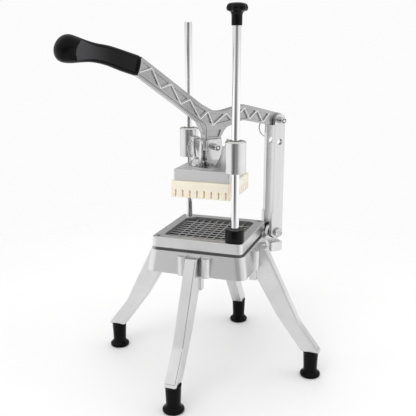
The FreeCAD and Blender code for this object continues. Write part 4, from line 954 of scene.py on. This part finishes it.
class FRYCUTTER_OT_stage(Operator):
    """Set the floor, the soft studio light and the camera"""

    bl_idname = "frycutter.stage"
    bl_label = "Stage"

    def execute(self, context):
        scene = context.scene
        looks, sizes = scene.cutter_looks, scene.cutter_sizes
        self.floor(tuple(looks.floor))
        self.camera(scene, sizes.lens)
        self.studio(scene)
        return {"FINISHED"}

    def floor(self, colour):
        """A wide pale floor that fades out with distance."""
        form = bmesh.new()
        bmesh.ops.create_grid(form, x_segments=2, y_segments=2, size=12.0)
        mesh = bpy.data.meshes.new("floor")
        form.to_mesh(mesh)
        form.free()
        floor = bpy.data.objects.new("floor", mesh)
        bpy.context.scene.collection.objects.link(floor)
        material, f = new_finish("floor")
        where = f.place()
        mist = f.noise(where, 6.0, 3.0, 0.5)
        away = f.node("VectorMath", {"operation": "LENGTH"}, where, pick=1)
        f.surface(Base_Color=f.blend(mist, tinted(colour, 0.99), tinted(colour, 1.01)),
                  Roughness=0.6 + mist * 0.1, Alpha=away.clipped(0.32, 0.95, 1.0, 0.0))
        mesh.materials.append(material)

    def camera(self, scene, lens):
        """The camera, placed as the photograph's was found to be."""
        lens_data = bpy.data.cameras.new("camera")
        lens_data.lens, lens_data.sensor_width = lens, 36.0
        lens_data.clip_start, lens_data.clip_end = 0.02, 60.0
        camera = bpy.data.objects.new("camera", lens_data)
        scene.collection.objects.link(camera)
        ahead = Vector(CAMERA_AHEAD).normalized()
        right = ahead.cross(Vector((0, 0, 1))).normalized()
        up = right.cross(ahead)
        turn = Matrix((right, up, -ahead)).transposed().to_4x4()
        camera.matrix_world = Matrix.Translation(spot(*CAMERA_PLACE)) @ turn
        scene.camera = camera

    def studio(self, scene):
        """A bright room with darker cards, seen only in reflections and shading, and
        three soft lamps. The camera itself sees a plain pale background."""
        scene.view_settings.view_transform = "Standard"
        world = bpy.data.worlds.new("studio")
        scene.world = world
        f = Finish(world)
        where = f.node("TexCoord", None, pick=0)

        def towards(heading):
            """How nearly a ray points to a heading, from -1 to 1."""
            angle = math.radians(heading)
            aim = tuple(Vector((math.cos(angle), math.sin(angle), 0)))
            return f.node("VectorMath", {"operation": "DOT_PRODUCT"}, where, aim, pick=1)

        front, flank = towards(FRONT_HEADING), towards(FLANK_HEADING)
        height = f.along(where, "Z")
        card = towards(CARD_HEADING).clipped(0.9, 0.978) * height.clipped(0.0, -0.16)
        wide = front.clipped(0.76, 0.97) * height.clipped(0.4, 0.05)
        low = height.clipped(0.08, -0.1)
        sky = height.clipped(0.0, 0.8, 0.7, 1.1)
        back = front.clipped(-0.6, -0.92) * (1 - low)
        room = (sky * (1 - low) + low * 1.1) * (1 - card * 0.82) * (1 - wide * 0.66)
        room = room * (1 - back * 0.42) * (flank * flank).clipped(0.35, 0.95, 1.0, 1.2)
        seen = f.node("LightPath", None, pick=0)
        strength = room * (1 - seen) + seen * 0.97
        background = f.tree.nodes.new("ShaderNodeBackground")
        background.inputs[0].default_value = (1.0, 1.0, 1.0, 1.0)
        f.feed(background.inputs[1], strength)
        out = f.tree.nodes.new("ShaderNodeOutputWorld")
        f.tree.links.new(background.outputs[0], out.inputs[0])
        for name, place, aim, size, power in LAMPS:
            light = bpy.data.lights.new(name, "AREA")
            light.shape, light.size, light.energy = "DISK", size, power
            lamp = bpy.data.objects.new(name, light)
            lamp.visible_glossy = False
            scene.collection.objects.link(lamp)
            lamp.location = spot(*place)
            ray = spot(*aim) - lamp.location
            lamp.rotation_euler = ray.to_track_quat("-Z", "Y").to_euler()


class FRYCUTTER_PT_panel(Panel):
    """Lists the steps that dress the cutter"""

    bl_idname = "FRYCUTTER_PT_panel"
    bl_label = "Fry cutter"
    bl_space_type = "VIEW_3D"
    bl_region_type = "UI"
    bl_category = "Fry cutter"

    def draw(self, context):
        column = self.layout.column()
        for name in STEPS:
            column.operator("frycutter." + name)
        for group in (context.scene.cutter_looks, context.scene.cutter_sizes):
            for key in group.bl_rna.properties.keys():
                if key not in ("rna_type", "name"):
                    column.prop(group, key)


STEPS = ("finishes", "grip", "knob", "feet", "wing_nuts", "rings", "pins", "blades", "beads",
         "stage")
CLASSES = (CutterLooks, CutterSizes, FRYCUTTER_OT_finishes, FRYCUTTER_OT_grip,
           FRYCUTTER_OT_knob, FRYCUTTER_OT_feet, FRYCUTTER_OT_wing_nuts, FRYCUTTER_OT_rings,
           FRYCUTTER_OT_pins, FRYCUTTER_OT_blades, FRYCUTTER_OT_beads,
           FRYCUTTER_OT_stage, FRYCUTTER_PT_panel)


def register():
    for item in CLASSES:
        bpy.utils.register_class(item)
    bpy.types.Scene.cutter_looks = PointerProperty(type=CutterLooks)
    bpy.types.Scene.cutter_sizes = PointerProperty(type=CutterSizes)


def unregister():
    del bpy.types.Scene.cutter_sizes
    del bpy.types.Scene.cutter_looks
    for item in reversed(CLASSES):
        bpy.utils.unregister_class(item)


def main():
    register()
    for name in STEPS:
        getattr(bpy.ops.frycutter, name)()


if __name__ == "__main__":
    main()
